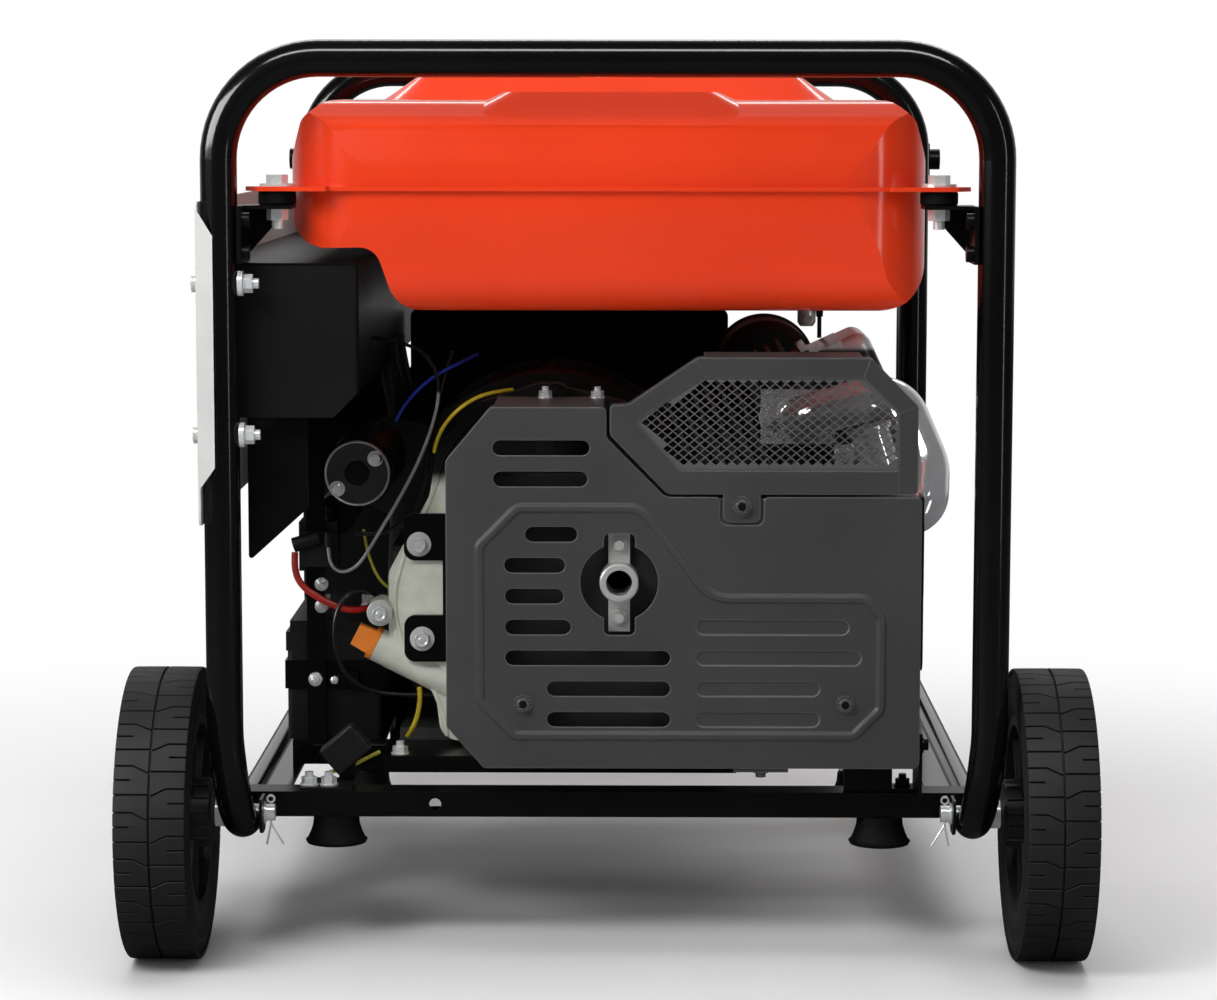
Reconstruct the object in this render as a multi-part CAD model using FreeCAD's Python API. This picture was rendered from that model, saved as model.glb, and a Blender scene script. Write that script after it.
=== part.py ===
import FreeCAD, Part
import math
import os
from FreeCAD import Vector as V

# Portable open-frame generator, millimetres. X is right, Y runs from the wheel end to the
# handle end, Z is up, and the ground is Z = 0 with the origin in the middle of the plan.

# ---- driving dimensions: frame -------------------------------------------------------------
tube_d = 25.0            # steel tube of the hoops and base rails
hoop_width = 551.0       # outside of the upright legs
hoop_rise = 538.0        # base rails' centre line to the top of the hoops
hoop_spacing = 686.6     # between the two hoops' centre lines
hoop_corner_r = 68.0
base_gauge = 512.0       # between the base rails' centre lines
base_drop = 5.0          # base rails' centre line below the axle's
base_bend_r = 50.0       # bend from a leg into a base rail
lean_rise = 66.0         # last stretch of the legs, which leans in to the base rails
lean_r = 150.0
angle_leg = 18.0         # angle iron inside each base rail
angle_wall = 2.5
cross_rail_setback = 57.0
cross_rail_depth = 25.0
cross_rail_height = 18.0
cross_rail_hole_x = 122.0
cross_rail_hole_d = 8.5
crossbar_setbacks = (245.0, 470.0)
crossbar_width = 30.0
crossbar_height = 14.0

# ---- wheels, axles and feet ----------------------------------------------------------------
wheel_d = 205.0
tyre_width = 50.0
tyre_section = 33.0      # tyre's depth from tread to rim
wheel_gap = 8.5          # hoop's outside to the tyre
tread_groove = 4.0
axle_d = 12.0
axle_setback = 45.0      # axle behind the front hoop's centre line
axle_head_d = 24.0
axle_head_t = 5.0
axle_stub = 7.5          # what shows inside the bracket
cotter_wire = 1.4
running_fit = 0.06       # radial clearance of anything that turns on a pin
side_play = 0.4          # end clearance beside anything that turns
hub_r = 21.0
hub_reach = 8.0          # hub stands this far inside the tyre's inner face
rim_wall = 7.0
spoke_count = 8
axle_plate_t = 2.0
axle_plate_drop = 13.0
foot_top_d = 32.0
foot_base_d = 44.0
foot_h = 20.5
foot_x = 193.0
leg_size = 24.0          # square rear leg
leg_x = 212.0

# ---- transport handle ----------------------------------------------------------------------
handle_d = 22.0
handle_drop = 300.0
handle_corner_r = 45.0
handle_pivot_rise = 449.5    # above the base rails' centre line
grip_d = 30.0
grip_length = 190.0
pivot_bolt_d = 8.0
pivot_knob_d = 18.0
pivot_knob_t = 11.0
ear_t = 3.0

# ---- fuel tank -----------------------------------------------------------------------------
tank_half = 221.0        # half the width of both shells
tank_clear = 14.0        # tank's ends to the hoops' tubes
tank_seam_rise = 437.5   # seam above the base rails' centre line
tank_top_h = 59.0        # seam to the flat of the top shell
tank_deep_h = 85.0       # seam to the deep bottom
tank_shallow_h = 40.0    # seam to the shallow bottom over the control box
tank_step_x = -152.0     # where the bottom steps down
tank_sheet = 1.5
tank_corner_r = 56.0
crest_x = (-145.0, 143.0)    # raised centre of the top shell
crest_half_y = 105.0
crest_h = 78.0           # seam to the crest
end_panel_x = (-72.0, 76.0)  # lower panel at each end of the crest
end_panel_h = 66.0
flange_width = 7.0
ear_reach = 28.0
ear_length = 34.0
tank_bolt_inset = 5.5    # bolt outside the shells' wall
tank_bolt_setback = 30.0
filler_x = 4.0
tap_x = 150.0
tap_setback = 300.0      # from the front hoop's centre line
filler_r = 24.0
cap_r = 31.0
cap_h = 14.0

# ---- engine --------------------------------------------------------------------------------
tray_gap = 17.0          # rubber mounts' height
tray_t = 3.0
tray_skirt = 12.0
tray_x = (-162.0, 92.0)
tray_y = (100.0, 545.0)
shaft_height = 140.0     # crankshaft above the tray
crank_x = -48.0
cylinder_tilt = 25.0     # degrees above level
shaft_d = 28.0
cover_setback = 132.0
cover_t = 28.0
block_t = 150.0
drum_r = 115.0
drum_length = 182.0
drum_wall = 5.0
recoil_r = 96.0
recoil_t = 62.0
fin_count = 9
fin_pitch = 10.0
fin_t = 2.6
starter_r = 24.6
starter_at = (-183.0, 59.0)  # from the middle and from the crankshaft's height
pull_length = 120.0
filler_tube_r = 12.5
shroud_x = (-252.0, 195.0)   # sheet that closes the engine bay round the alternator
shroud_rise = 299.5      # its top above the tray
shroud_t = 1.5
shroud_lip = 10.0

# ---- muffler and heat shield ---------------------------------------------------------------
shield_setback = 25.0    # front face behind the front hoop's centre line
shield_t = 1.5
shield_left = -112.0
shield_right = 217.0
shield_low = 5.8         # above the tray
shield_mid = 196.0       # top edge on the right, above the tray
shield_high = 258.0      # top edge on the left, above the tray
shield_rim = 16.0
shield_roof = 90.0
slot_h = 10.5
outlet_x = 8.0
outlet_rise = 136.5      # above the tray
outlet_od = 27.0
outlet_id = 18.0
outlet_hole_r = 27.0
notch_x = (77.3, 108.0)  # notch of the shield under the mesh frame's tab
muffler_setback = 44.0
muffler_depth = 72.0
muffler_sheet = 1.5
mesh_pitch = 7.4         # long way of the diamonds
mesh_rise = 6.0          # short way
mesh_wire = 0.9
pipe_od = 32.0
pipe_wall = 2.0

# ---- control box ---------------------------------------------------------------------------
box_inner = -170.5       # side of the control box that faces the engine
box_rise = (281.0, 387.0)    # bottom and top above the base rails' centre line
box_clear = 20.0         # ends to the hoops' centre lines
box_sheet = 1.5
box_chamfer = 18.0       # cut corner over the starter
fascia_gap = 0.5         # hoops to the fascia's back
fascia_t = 1.5
fascia_rise = (209.5, 429.5)
fascia_wrap = 10.0
panel_bolt_rises = (271.0, 374.0)
lid_r = 25.0
socket_setbacks = (215.0, 300.0, 385.0)
socket_rise = 326.0

# ---- battery -------------------------------------------------------------------------------
battery_x = (-237.0, -168.0)
battery_y = (166.0, 316.0)
battery_h = 88.0
battery_rise = 30.0      # its tray above the base rails' angles' reference line
relay_x = -213.0

# ---- worked out from the above -------------------------------------------------------------
tube_r = tube_d / 2
rail_x = base_gauge / 2
rail_z = wheel_d / 2                 # the axle runs through the base bends
rail_top = rail_z + tube_r
base_z = rail_z - base_drop
front = -hoop_spacing / 2
rear = hoop_spacing / 2
leg_centre = hoop_width / 2 - tube_r
hoop_top = rail_z + hoop_rise
axle_y = front + axle_setback
wheel_in = hoop_width / 2 + wheel_gap
wheel_out = wheel_in + tyre_width
tray_top = rail_top - angle_wall + tray_gap + tray_t
tray_low = tray_top - tray_t
crank_z = tray_top + shaft_height
tilt = math.radians(cylinder_tilt)
block_y = front + cover_setback + cover_t
drum_y = block_y + block_t
recoil_y = drum_y + drum_length
seam_z = rail_z + tank_seam_rise
shield_y = front + shield_setback
tap_y = front + tap_setback
battery_z = rail_z + battery_rise
fascia_x = -hoop_width / 2 - fascia_gap
handle_reach = wheel_d / 2 - axle_setback - grip_d / 2
pivot_y = rear + handle_reach
pivot_z = rail_z + handle_pivot_rise


# ---- helpers -------------------------------------------------------------------------------
def box(x, y, z):
    return Part.makeBox(x[1] - x[0], y[1] - y[0], z[1] - z[0], V(x[0], y[0], z[0]))


def rod(r, start, end):
    run = end - start
    return Part.makeCylinder(r, run.Length, start, run)


def along_x(r, x, y, z):
    return rod(r, V(x[0], y, z), V(x[1], y, z))


def along_y(r, x, y, z):
    return rod(r, V(x, y[0], z), V(x, y[1], z))


def along_z(r, x, y, z):
    return rod(r, V(x, y, z[0]), V(x, y, z[1]))


def fuse(shapes):
    return shapes[0].fuse(shapes[1:]).removeSplitter()


def group(shapes):
    return Part.makeCompound(shapes)


def mirror_x(shape):
    return shape.mirror(V(0, 0, 0), V(1, 0, 0))


def mirror_y(shape):
    return shape.mirror(V(0, 0, 0), V(0, 1, 0))


def corner(before, here, after, r):
    """Ends and middle of the arc that rounds a corner."""
    a = (before - here).normalize()
    b = (after - here).normalize()
    half = a.getAngle(b) / 2
    reach = r / math.tan(half)
    centre = here + (a + b).normalize() * (r / math.sin(half))
    middle = centre + (here - centre).normalize() * r
    return here + a * reach, middle, here + b * reach


def rounded_edges(points, radii, closed):
    count = len(points)
    edges = []
    last = None
    first = None
    for i, here in enumerate(points):
        inside = closed or 0 < i < count - 1
        if inside and radii[i] > 0:
            start, middle, end = corner(points[i - 1], here, points[(i + 1) % count], radii[i])
        else:
            start, middle, end = here, None, here
        if last is not None:
            edges.append(Part.LineSegment(last, start).toShape())
        if first is None:
            first = start
        if middle is not None:
            edges.append(Part.Arc(start, middle, end).toShape())
        last = end
    if closed:
        edges.append(Part.LineSegment(last, first).toShape())
    return [edge for edge in edges if edge.Length > 1e-6]


def place(plane, a, b, level):
    return {"xz": V(a, level, b), "xy": V(a, b, level), "yz": V(level, a, b)}[plane]


def outline(plane, points, r, level):
    radii = r if isinstance(r, (list, tuple)) else [r] * len(points)
    corners = [place(plane, a, b, level) for a, b in points]
    return Part.Wire(rounded_edges(corners, radii, True))


def prism(plane, points, r, start, end):
    face = Part.Face(outline(plane, points, r, start))
    return face.extrude(place(plane, 0, 0, end - start))


def ring_profile(centre, axis, points):
    """Solid of revolution from (distance along, radius) pairs about an axis along X, Y or Z."""
    side = {"x": V(0, 0, 1), "y": V(0, 0, 1), "z": V(1, 0, 0)}[axis]
    run = {"x": V(1, 0, 0), "y": V(0, 1, 0), "z": V(0, 0, 1)}[axis]
    corners = [centre + run * a + side * b for a, b in points]
    wire = Part.makePolygon(corners + [corners[0]])
    return Part.Face(wire).revolve(centre, run, 360)


def pipe_run(edge, r):
    """One straight stretch or one bend of a round bar along a straight edge or an arc."""
    start = edge.valueAt(edge.FirstParameter)
    run = edge.tangentAt(edge.FirstParameter)
    section = Part.Face(Part.Wire(Part.makeCircle(r, start, run)))
    if edge.Curve.TypeId == "Part::GeomLine":
        return section.extrude(run * edge.Length)
    turn = math.degrees(edge.Length / edge.Curve.Radius)
    return section.revolve(edge.Curve.Center, edge.Curve.Axis, turn)


def pipe(points, radii, r):
    return fuse([pipe_run(edge, r) for edge in rounded_edges(points, radii, False)])


def hex_prism(across, start, end):
    run = end - start
    side = V(0, 0, 1) if abs(run.z) < 0.5 * run.Length else V(1, 0, 0)
    other = run.cross(side).normalize()
    side = other.cross(run).normalize()
    r = across / math.sqrt(3)
    turns = [math.radians(60 * i) for i in range(7)]
    wire = Part.makePolygon([start + side * (r * math.cos(t)) + other * (r * math.sin(t)) for t in turns])
    return Part.Face(wire).extrude(run)


def flange_bolt(seat, out, size):
    """Head of a hexagon flange bolt that stands on seat and points out."""
    out = V(out).normalize()
    flange = rod(size * 1.08, seat, seat + out * size * 0.22)
    head = hex_prism(size * 1.25, seat + out * size * 0.2, seat + out * size * 0.85)
    return fuse([flange, head])


def nut_and_stud(seat, out, size):
    out = V(out).normalize()
    washer = rod(size * 1.1, seat, seat + out * size * 0.2)
    nut = hex_prism(size * 1.6, seat + out * size * 0.2, seat + out * size)
    stud = rod(size / 2, seat + out * size, seat + out * size * 1.6)
    return fuse([washer, nut, stud])


def slot(x, z, y, height):
    r = height / 2
    return prism("xz", [(x[0], z - r), (x[1], z - r), (x[1], z + r), (x[0], z + r)], r * 0.999, y[0], y[1])


# ---- frame ---------------------------------------------------------------------------------
def front_hoop():
    low = V(-rail_x, front + base_bend_r, base_z)
    bend = V(-rail_x, front, base_z)
    knee = V(-leg_centre, front, base_z + lean_rise)
    top = V(-leg_centre, front, hoop_top - tube_r)
    left = [low, bend, knee, top]
    right = [V(-p.x, p.y, p.z) for p in reversed(left)]
    radii = [0, base_bend_r - 1, lean_r, hoop_corner_r, hoop_corner_r, lean_r, base_bend_r - 1, 0]
    return pipe(left + right, radii, tube_r)


def axle_holes():
    reach = hoop_width
    return along_x(axle_d / 2 + running_fit, (-reach, reach), axle_y, rail_z)


def base_rail():
    return along_y(tube_r, rail_x, (front + base_bend_r, rear - base_bend_r), base_z).cut(axle_holes())


def side_angle():
    y = (front + cross_rail_setback + cross_rail_depth, rear - cross_rail_setback - cross_rail_depth)
    outer = rail_x - tube_r
    upright = box((outer - angle_wall, outer), y, (rail_top - angle_leg, rail_top))
    ledge = box((outer - angle_leg, outer), y, (rail_top - angle_wall, rail_top))
    return fuse([upright, ledge])


def cross_rail():
    """Front channel between the base rails, open at the back, with a hole for a cable tie."""
    y0 = front + cross_rail_setback
    y1 = y0 + cross_rail_depth
    z0 = rail_top - cross_rail_height
    half = rail_x
    web = box((-half, half), (y0, y0 + angle_wall), (z0, rail_top))
    ledge = box((-half, half), (y0, y1), (rail_top - angle_wall, rail_top))
    foot_seat = box((-half, half), (y0, y1), (z0, z0 + angle_wall))
    rail = fuse([web, ledge, foot_seat])
    hoop_ends = [along_y(tube_r, s * rail_x, (front, 0), base_z) for s in (-1, 1)]
    return rail.cut(hoop_ends)


def cross_rail_hole():
    y = front + cross_rail_setback
    z = rail_top - cross_rail_height / 2
    return along_y(cross_rail_hole_d / 2, -cross_rail_hole_x, (y - 1, y + angle_wall + 1), z)


def engine_crossbars():
    z1 = rail_top - angle_wall
    half = rail_x - tube_r - angle_wall
    bars = []
    for setback in crossbar_setbacks:
        y = (front + setback, front + setback + crossbar_width)
        bar = box((-half, half), y, (z1 - crossbar_height, z1))
        inner = box((-half, half), (y[0] + angle_wall, y[1] - angle_wall), (z1 - crossbar_height, z1 - angle_wall))
        bars.append(bar.cut(inner))
    return bars


def mount_places():
    inset = 20.0
    middles = [front + s + crossbar_width / 2 for s in crossbar_setbacks]
    return [(x, y) for y in middles for x in (tray_x[0] + inset, tray_x[1] - inset)]


def engine_mounts():
    z = rail_top - angle_wall
    waist = tray_gap * 0.5
    shape = [(0, 4), (0, 13), (2, 14), (waist, 10.5), (tray_gap - 2, 14), (tray_gap, 13), (tray_gap, 4)]
    return [ring_profile(V(x, y, z), "z", shape) for x, y in mount_places()]


def engine_tray():
    x, y = tray_x, (front + tray_y[0], front + tray_y[1])
    plate = box(x, y, (tray_low, tray_top))
    skirts = [box(x, (y[0], y[0] + tray_t), (tray_top - tray_skirt, tray_top)),
              box(x, (y[1] - tray_t, y[1]), (tray_top - tray_skirt, tray_top))]
    holes = [along_z(4.0, mx, my, (tray_low - 1, tray_top + 1)) for mx, my in mount_places()]
    return fuse([plate] + skirts).cut(holes)


# ---- axles, wheels and feet ----------------------------------------------------------------
def axle_plate():
    inner = rail_x - tube_r - axle_plate_t
    half = 17.0
    points = [(axle_y - half, rail_z + 12), (axle_y + 9, rail_z + 12), (axle_y + 9, rail_z - axle_plate_drop),
              (axle_y - half, rail_z - axle_plate_drop)]
    plate = prism("yz", points, [3, 3, 8, 8], inner, inner + axle_plate_t)
    return plate.cut(axle_holes())


def pin_x():
    return rail_x - tube_r - axle_plate_t - axle_stub * 0.6


def axle():
    """Stub axle with a head outside the wheel, a collar and washer each side of the frame."""
    plate_in = rail_x - tube_r - axle_plate_t
    r = axle_d / 2
    hub_in = wheel_in - hub_reach
    head = wheel_out - axle_head_t
    shaft = along_x(r, (plate_in - axle_stub, head), axle_y, rail_z)
    cap = along_x(axle_head_d / 2, (head, wheel_out), axle_y, rail_z)
    collar = along_x(r + 4, (rail_x + tube_r + 0.6, hub_in - side_play), axle_y, rail_z)
    washer = along_x(r + 2, (plate_in - 1.0, plate_in), axle_y, rail_z)
    pin_hole = along_z(cotter_wire / 2, pin_x(), axle_y, (rail_z - r - 2, rail_z + r + 2))
    return fuse([shaft, cap, collar, washer]).cut(pin_hole)


def cotter_pin():
    """Split pin: an eye above the axle, a shank through it and two spread legs below."""
    x, r, w = pin_x(), axle_d / 2, cotter_wire / 2
    low = V(x, axle_y, rail_z - r - 2)
    eye = ring_profile(V(x, axle_y - w, rail_z + r + 3.6), "y", [(0, 1.8), (0, 3.2), (2 * w, 3.2), (2 * w, 1.8)])
    shank = along_z(w, x, axle_y, (rail_z - r - 2.5, rail_z + r + 1.5))
    legs = [rod(w, low, low + V(dx, 0, -15)) for dx in (-9, 3)]
    return fuse([eye, shank] + legs)


def tyre():
    """Flat-free tyre with rounded shoulders, two tread bands and a seat for the rim."""
    r = wheel_d / 2
    seat = r - tyre_section
    w, g = tyre_width, tread_groove / 2
    m = w / 2
    points = [(2, seat), (0, seat + 5), (0, r - 7), (1.2, r - 2.5), (4, r), (m - g, r), (m - g, r - 3.5),
              (m + g, r - 3.5), (m + g, r), (w - 4, r), (w - 1.2, r - 2.5), (w, r - 7), (w, seat + 5),
              (w - 2, seat)]
    return ring_profile(V(wheel_in, axle_y, rail_z), "x", points)


def rim():
    """Moulded rim: a hoop under the tyre, a web, radial ribs on both faces and a bored hub."""
    outer = wheel_d / 2 - tyre_section
    inner = outer - rim_wall
    centre = V(wheel_in, axle_y, rail_z)
    hoop = ring_profile(centre, "x", [(2, inner), (2, outer), (tyre_width - 2, outer), (tyre_width - 2, inner)])
    bore = axle_d / 2 + running_fit
    hub_end = tyre_width - axle_head_t - side_play
    hub = ring_profile(centre, "x", [(-hub_reach, bore), (-hub_reach, hub_r - 6), (3, hub_r), (hub_end, hub_r),
                                     (hub_end, bore)])
    mid = tyre_width / 2
    web = ring_profile(centre, "x", [(mid - 3, hub_r - 1), (mid - 3, inner + 1), (mid + 3, inner + 1),
                                     (mid + 3, hub_r - 1)])
    ribs = []
    for i in range(spoke_count):
        rib = box((wheel_in + 5, wheel_in + tyre_width - 6), (axle_y - 2.2, axle_y + 2.2),
                  (rail_z + hub_r - 1, rail_z + inner + 1))
        ribs.append(rib.rotate(V(0, axle_y, rail_z), V(1, 0, 0), 360 * i / spoke_count))
    windows = []
    for i in range(spoke_count):
        hole = along_x((inner - hub_r) * 0.26, (wheel_in, wheel_out), axle_y, rail_z + (inner + hub_r) / 2)
        windows.append(hole.rotate(V(0, axle_y, rail_z), V(1, 0, 0), 360 * (i + 0.5) / spoke_count))
    return fuse([hoop, hub, web] + ribs).cut(windows)


def bell_foot(x, y, z):
    """Rubber foot that flares to its base, hung under z."""
    top, base, h = foot_top_d / 2, foot_base_d / 2, foot_h
    shape = [(0, 0), (0, top), (-h * 0.35, top + 0.6), (-h * 0.62, top + 2.4), (-h * 0.84, base - 1.6),
             (-h * 0.9, base), (-h, base - 1), (-h, 0)]
    return ring_profile(V(x, y, z), "z", shape)


def front_foot(side):
    y = front + cross_rail_setback + cross_rail_depth / 2
    return bell_foot(side * foot_x, y, rail_top - cross_rail_height)


def rear_leg(side):
    """Square leg under the rear cross rail, with a top plate bolted to the rail."""
    y = rear - cross_rail_setback - cross_rail_depth / 2
    top = rail_top - cross_rail_height
    x = side * leg_x
    half = leg_size / 2
    post = box((x - half, x + half), (y - half, y + half), (foot_h, top - 3))
    plate = box((x - half - 6, x + half + 6), (y - half, y + half), (top - 3, top))
    pad = along_z(foot_top_d / 2 - 1, x, y, (foot_h, foot_h + 3))
    return fuse([post, plate, pad])


def rear_foot(side):
    return bell_foot(side * leg_x, rear - cross_rail_setback - cross_rail_depth / 2, foot_h)


# ---- transport handle ----------------------------------------------------------------------
def handle_bracket(side):
    """Saddle and two ears behind the rear hoop's leg, with the pivot bolt and its knob."""
    gap = handle_d / 2 + side_play
    half = 14.0
    y0 = rear + tube_r - 1.5
    ears = []
    for x0 in (leg_centre - gap - ear_t, leg_centre + gap):
        points = [(y0 + 1.8, pivot_z - half), (pivot_y + half, pivot_z - half), (pivot_y + half, pivot_z + half),
                  (y0 + 1.8, pivot_z + half)]
        ears.append(prism("yz", points, [0, half * 0.98, half * 0.98, 0], x0, x0 + ear_t))
    saddle = box((leg_centre - gap - ear_t, leg_centre + gap + ear_t), (y0, y0 + ear_t),
                 (pivot_z - half, pivot_z + half * 0.4))
    saddle = saddle.cut(along_z(tube_r, leg_centre, rear, (rail_z, hoop_top)))
    clip = fuse(ears + [saddle]).cut(along_x(pivot_bolt_d / 2, (0, hoop_width), pivot_y, pivot_z))
    clip = fuse([clip, pivot_bolt()])
    return clip if side > 0 else mirror_x(clip)


def pivot_bolt():
    gap = handle_d / 2 + side_play + ear_t
    shaft = along_x(pivot_bolt_d / 2, (leg_centre - gap - 7, leg_centre + gap), pivot_y, pivot_z)
    knob = along_x(pivot_knob_d / 2, (leg_centre + gap, leg_centre + gap + pivot_knob_t), pivot_y, pivot_z)
    nut = hex_prism(13, V(leg_centre - gap - 6.5, pivot_y, pivot_z), V(leg_centre - gap, pivot_y, pivot_z))
    return fuse([shaft, knob, nut])


def handle_bar():
    low = pivot_z - handle_drop
    top = pivot_z + handle_d / 2 + 2
    points = [V(-leg_centre, pivot_y, top), V(-leg_centre, pivot_y, low), V(leg_centre, pivot_y, low),
              V(leg_centre, pivot_y, top)]
    bar = pipe(points, [0, handle_corner_r, handle_corner_r, 0], handle_d / 2)
    return bar.cut(along_x(pivot_bolt_d / 2 + running_fit, (-hoop_width, hoop_width), pivot_y, pivot_z))


def handle_grip():
    half = grip_length / 2
    r, core = grip_d / 2, handle_d / 2
    ribs = 9
    points = [(-half, core), (-half, r - 1.5), (-half + 1.5, r)]
    step = (grip_length - 24) / ribs
    for i in range(ribs):
        a = -half + 12 + i * step
        points += [(a, r), (a + 1.5, r - 1.5), (a + step - 8, r - 1.5), (a + step - 6.5, r)]
    points += [(half - 1.5, r), (half, r - 1.5), (half, core)]
    return ring_profile(V(0, pivot_y, pivot_z - handle_drop), "x", points)


# ---- fuel tank -----------------------------------------------------------------------------
def tank_y(inset):
    return front + tube_r + tank_clear + inset, rear - tube_r - tank_clear - inset


def tank_plan(inset, z0, z1):
    """Upright prism on the tank's rounded plan."""
    half = tank_half - inset
    y0, y1 = tank_y(inset)
    return prism("xy", [(-half, y0), (half, y0), (half, y1), (-half, y1)], tank_corner_r - inset, z0, z1)


def top_form(inset):
    """Solid form of the top shell: drawn in at the shoulders and crowned end to end."""
    t = inset
    half, flat = tank_half - t, tank_half - 26 - t
    base, top = seam_z - 1, seam_z + tank_top_h - t
    y0, y1 = tank_y(t)
    across = [(-half, base), (half, base), (half, seam_z + 18), (half - 9, top - 12), (flat, top + 2),
              (-flat, top + 2), (-half + 9, top - 12), (-half, seam_z + 18)]
    body = prism("xz", across, [0, 0, 20, 14, 24, 24, 14, 20], y0, y1)
    along = [(y0, base), (y1, base), (y1, seam_z + 18), (y1 - 7, top - 13), (y1 - 34, top + 1),
             (0, top + 6), (y0 + 34, top + 1), (y0 + 7, top - 13), (y0, seam_z + 18)]
    crown = prism("yz", along, [0, 0, 20, 16, 30, 900, 30, 16, 20], -half, half)
    return body.common(crown).common(tank_plan(t, base, top + 10))


def raised_panel(x, y, z0, z1, slope, r):
    """Pressed panel with sloped sides, from its top's corners down to a wider foot."""
    low = outline("xy", [(x[0] - slope, y[0] - slope), (x[1] + slope, y[0] - slope),
                         (x[1] + slope, y[1] + slope), (x[0] - slope, y[1] + slope)], r + slope, z0)
    high = outline("xy", [(x[0], y[0]), (x[1], y[0]), (x[1], y[1]), (x[0], y[1])], r, z1)
    return Part.makeLoft([low, high], True, True)


def end_panel(inset):
    """Lower panel at an end of the top shell; its front face runs on from the shell's shoulder."""
    t = inset
    y0 = tank_y(t)[0]
    x, foot, back = end_panel_x, 50.0, -crest_half_y - 7
    low = outline("xy", [(x[0] - foot + t, y0 + 6.5), (x[1] + foot - t, y0 + 6.5), (x[1] + foot - t, back),
                         (x[0] - foot + t, back)], [40 - t, 40 - t, 0, 0], seam_z + end_panel_h - 23 - t)
    high = outline("xy", [(x[0] + t, y0 + 29), (x[1] - t, y0 + 29), (x[1] - t, back), (x[0] + t, back)],
                   [14 - t, 14 - t, 0, 0], seam_z + end_panel_h - t)
    return Part.makeLoft([low, high], True, True)


def top_panels(inset):
    """Raised centre of the top shell and the lower panel at each end of it."""
    t = inset
    z = seam_z + crest_h - t
    crest = raised_panel((crest_x[0] + t, crest_x[1] - t), (-crest_half_y + t, crest_half_y - t), z - 22, z, 32, 14 - t)
    panel = end_panel(t)
    return [crest, panel, mirror_y(panel)]


def flange_sheet(z0, z1):
    """Seam flange round the shells, with a pointed ear at each corner for a mounting bolt."""
    half = tank_half + flange_width
    y0, y1 = tank_y(0)
    y0 -= flange_width - 2
    y1 += flange_width - 2
    sheet = prism("xy", [(-half, y0), (half, y0), (half, y1), (-half, y1)], tank_corner_r - 10, z0, z1)
    ears = []
    for sx in (-1, 1):
        for sy in (-1, 1):
            yc = front + tank_bolt_setback if sy < 0 else rear - tank_bolt_setback
            tip, wide = tank_half + ear_reach, ear_length / 2
            ear = [(sx * (tank_half - 30), yc - wide), (sx * (tip - 10), yc - wide + 2), (sx * tip, yc),
                   (sx * (tip - 10), yc + wide - 2), (sx * (tank_half - 30), yc + wide)]
            ears.append(prism("xy", ear if sx > 0 else ear[::-1], 4, z0, z1))
    holes = [along_z(4.2, x, y, (z0 - 1, z1 + 1)) for x, y in tank_bolt_places()]
    return fuse([sheet] + ears).cut(holes)


def tank_bolt_places():
    x = tank_half + tank_bolt_inset
    return [(s * x, y) for s in (-1, 1) for y in (front + tank_bolt_setback, rear - tank_bolt_setback)]


def bolt_reliefs(z0, z1):
    """Pockets that keep the shells' walls clear of the corner bolts' washers."""
    return [along_z(14.5, x, y, (z0, z1)) for x, y in tank_bolt_places()]


def fuel_tank_top():
    z = seam_z
    neck = along_z(filler_r + 5, filler_x, 0, (z + tank_top_h, z + tank_top_h + 20.5))
    outer = fuse([top_form(0), neck] + top_panels(0)).cut(bolt_reliefs(z + tank_sheet, z + tank_top_h * 0.45))
    t = tank_sheet * 1.6
    inner = fuse([top_form(t)] + top_panels(t)).cut(bolt_reliefs(z - 2, z + tank_top_h * 0.45 + tank_sheet))
    shell = outer.common(tank_plan(-5, z, z + 200)).cut(inner)
    shell = fuse([shell, flange_sheet(z, z + tank_sheet).cut(tank_plan(tank_sheet * 2, z - 1, z + 9))])
    return shell.cut(along_z(filler_r, filler_x, 0, (z, z + 200)))


def bottom_form(inset):
    t = inset
    half = tank_half - t
    top = seam_z + 1
    deep, shallow = seam_z - tank_deep_h + t, seam_z - tank_shallow_h + t
    step = tank_step_x + t
    across = [(-half, top), (-half, shallow - 1), (step - 8, shallow), (step + 7, deep), (half, deep), (half, top)]
    radii = [0, 26 - t, 15 + t, 24 - t, 36 - t, 0]
    y0, y1 = tank_y(t)
    body = prism("xz", across, radii, y0, y1)
    along = [(y0, top), (y0 + 1, seam_z - 20), (y0 + 10, deep), (y1 - 10, deep), (y1 - 1, seam_z - 20), (y1, top)]
    ends = prism("yz", along, [0, 60, 30 - t, 30 - t, 60, 0], -half, half)
    return body.common(ends).common(tank_plan(t, deep - 5, top))


def fuel_tank_bottom():
    z = seam_z
    low = z - 27
    outer = bottom_form(0).cut(bolt_reliefs(low, z + 2))
    inner = bottom_form(tank_sheet).cut(bolt_reliefs(low - tank_sheet, z + 2))
    shell = outer.common(tank_plan(-5, 0, z)).cut(inner)
    shell = fuse([shell, flange_sheet(z - tank_sheet, z).cut(tank_plan(tank_sheet * 2, z - 9, z + 1))])
    tap = along_z(6.2, tap_x, tap_y, (0, z))
    return shell.cut(tap)


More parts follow.
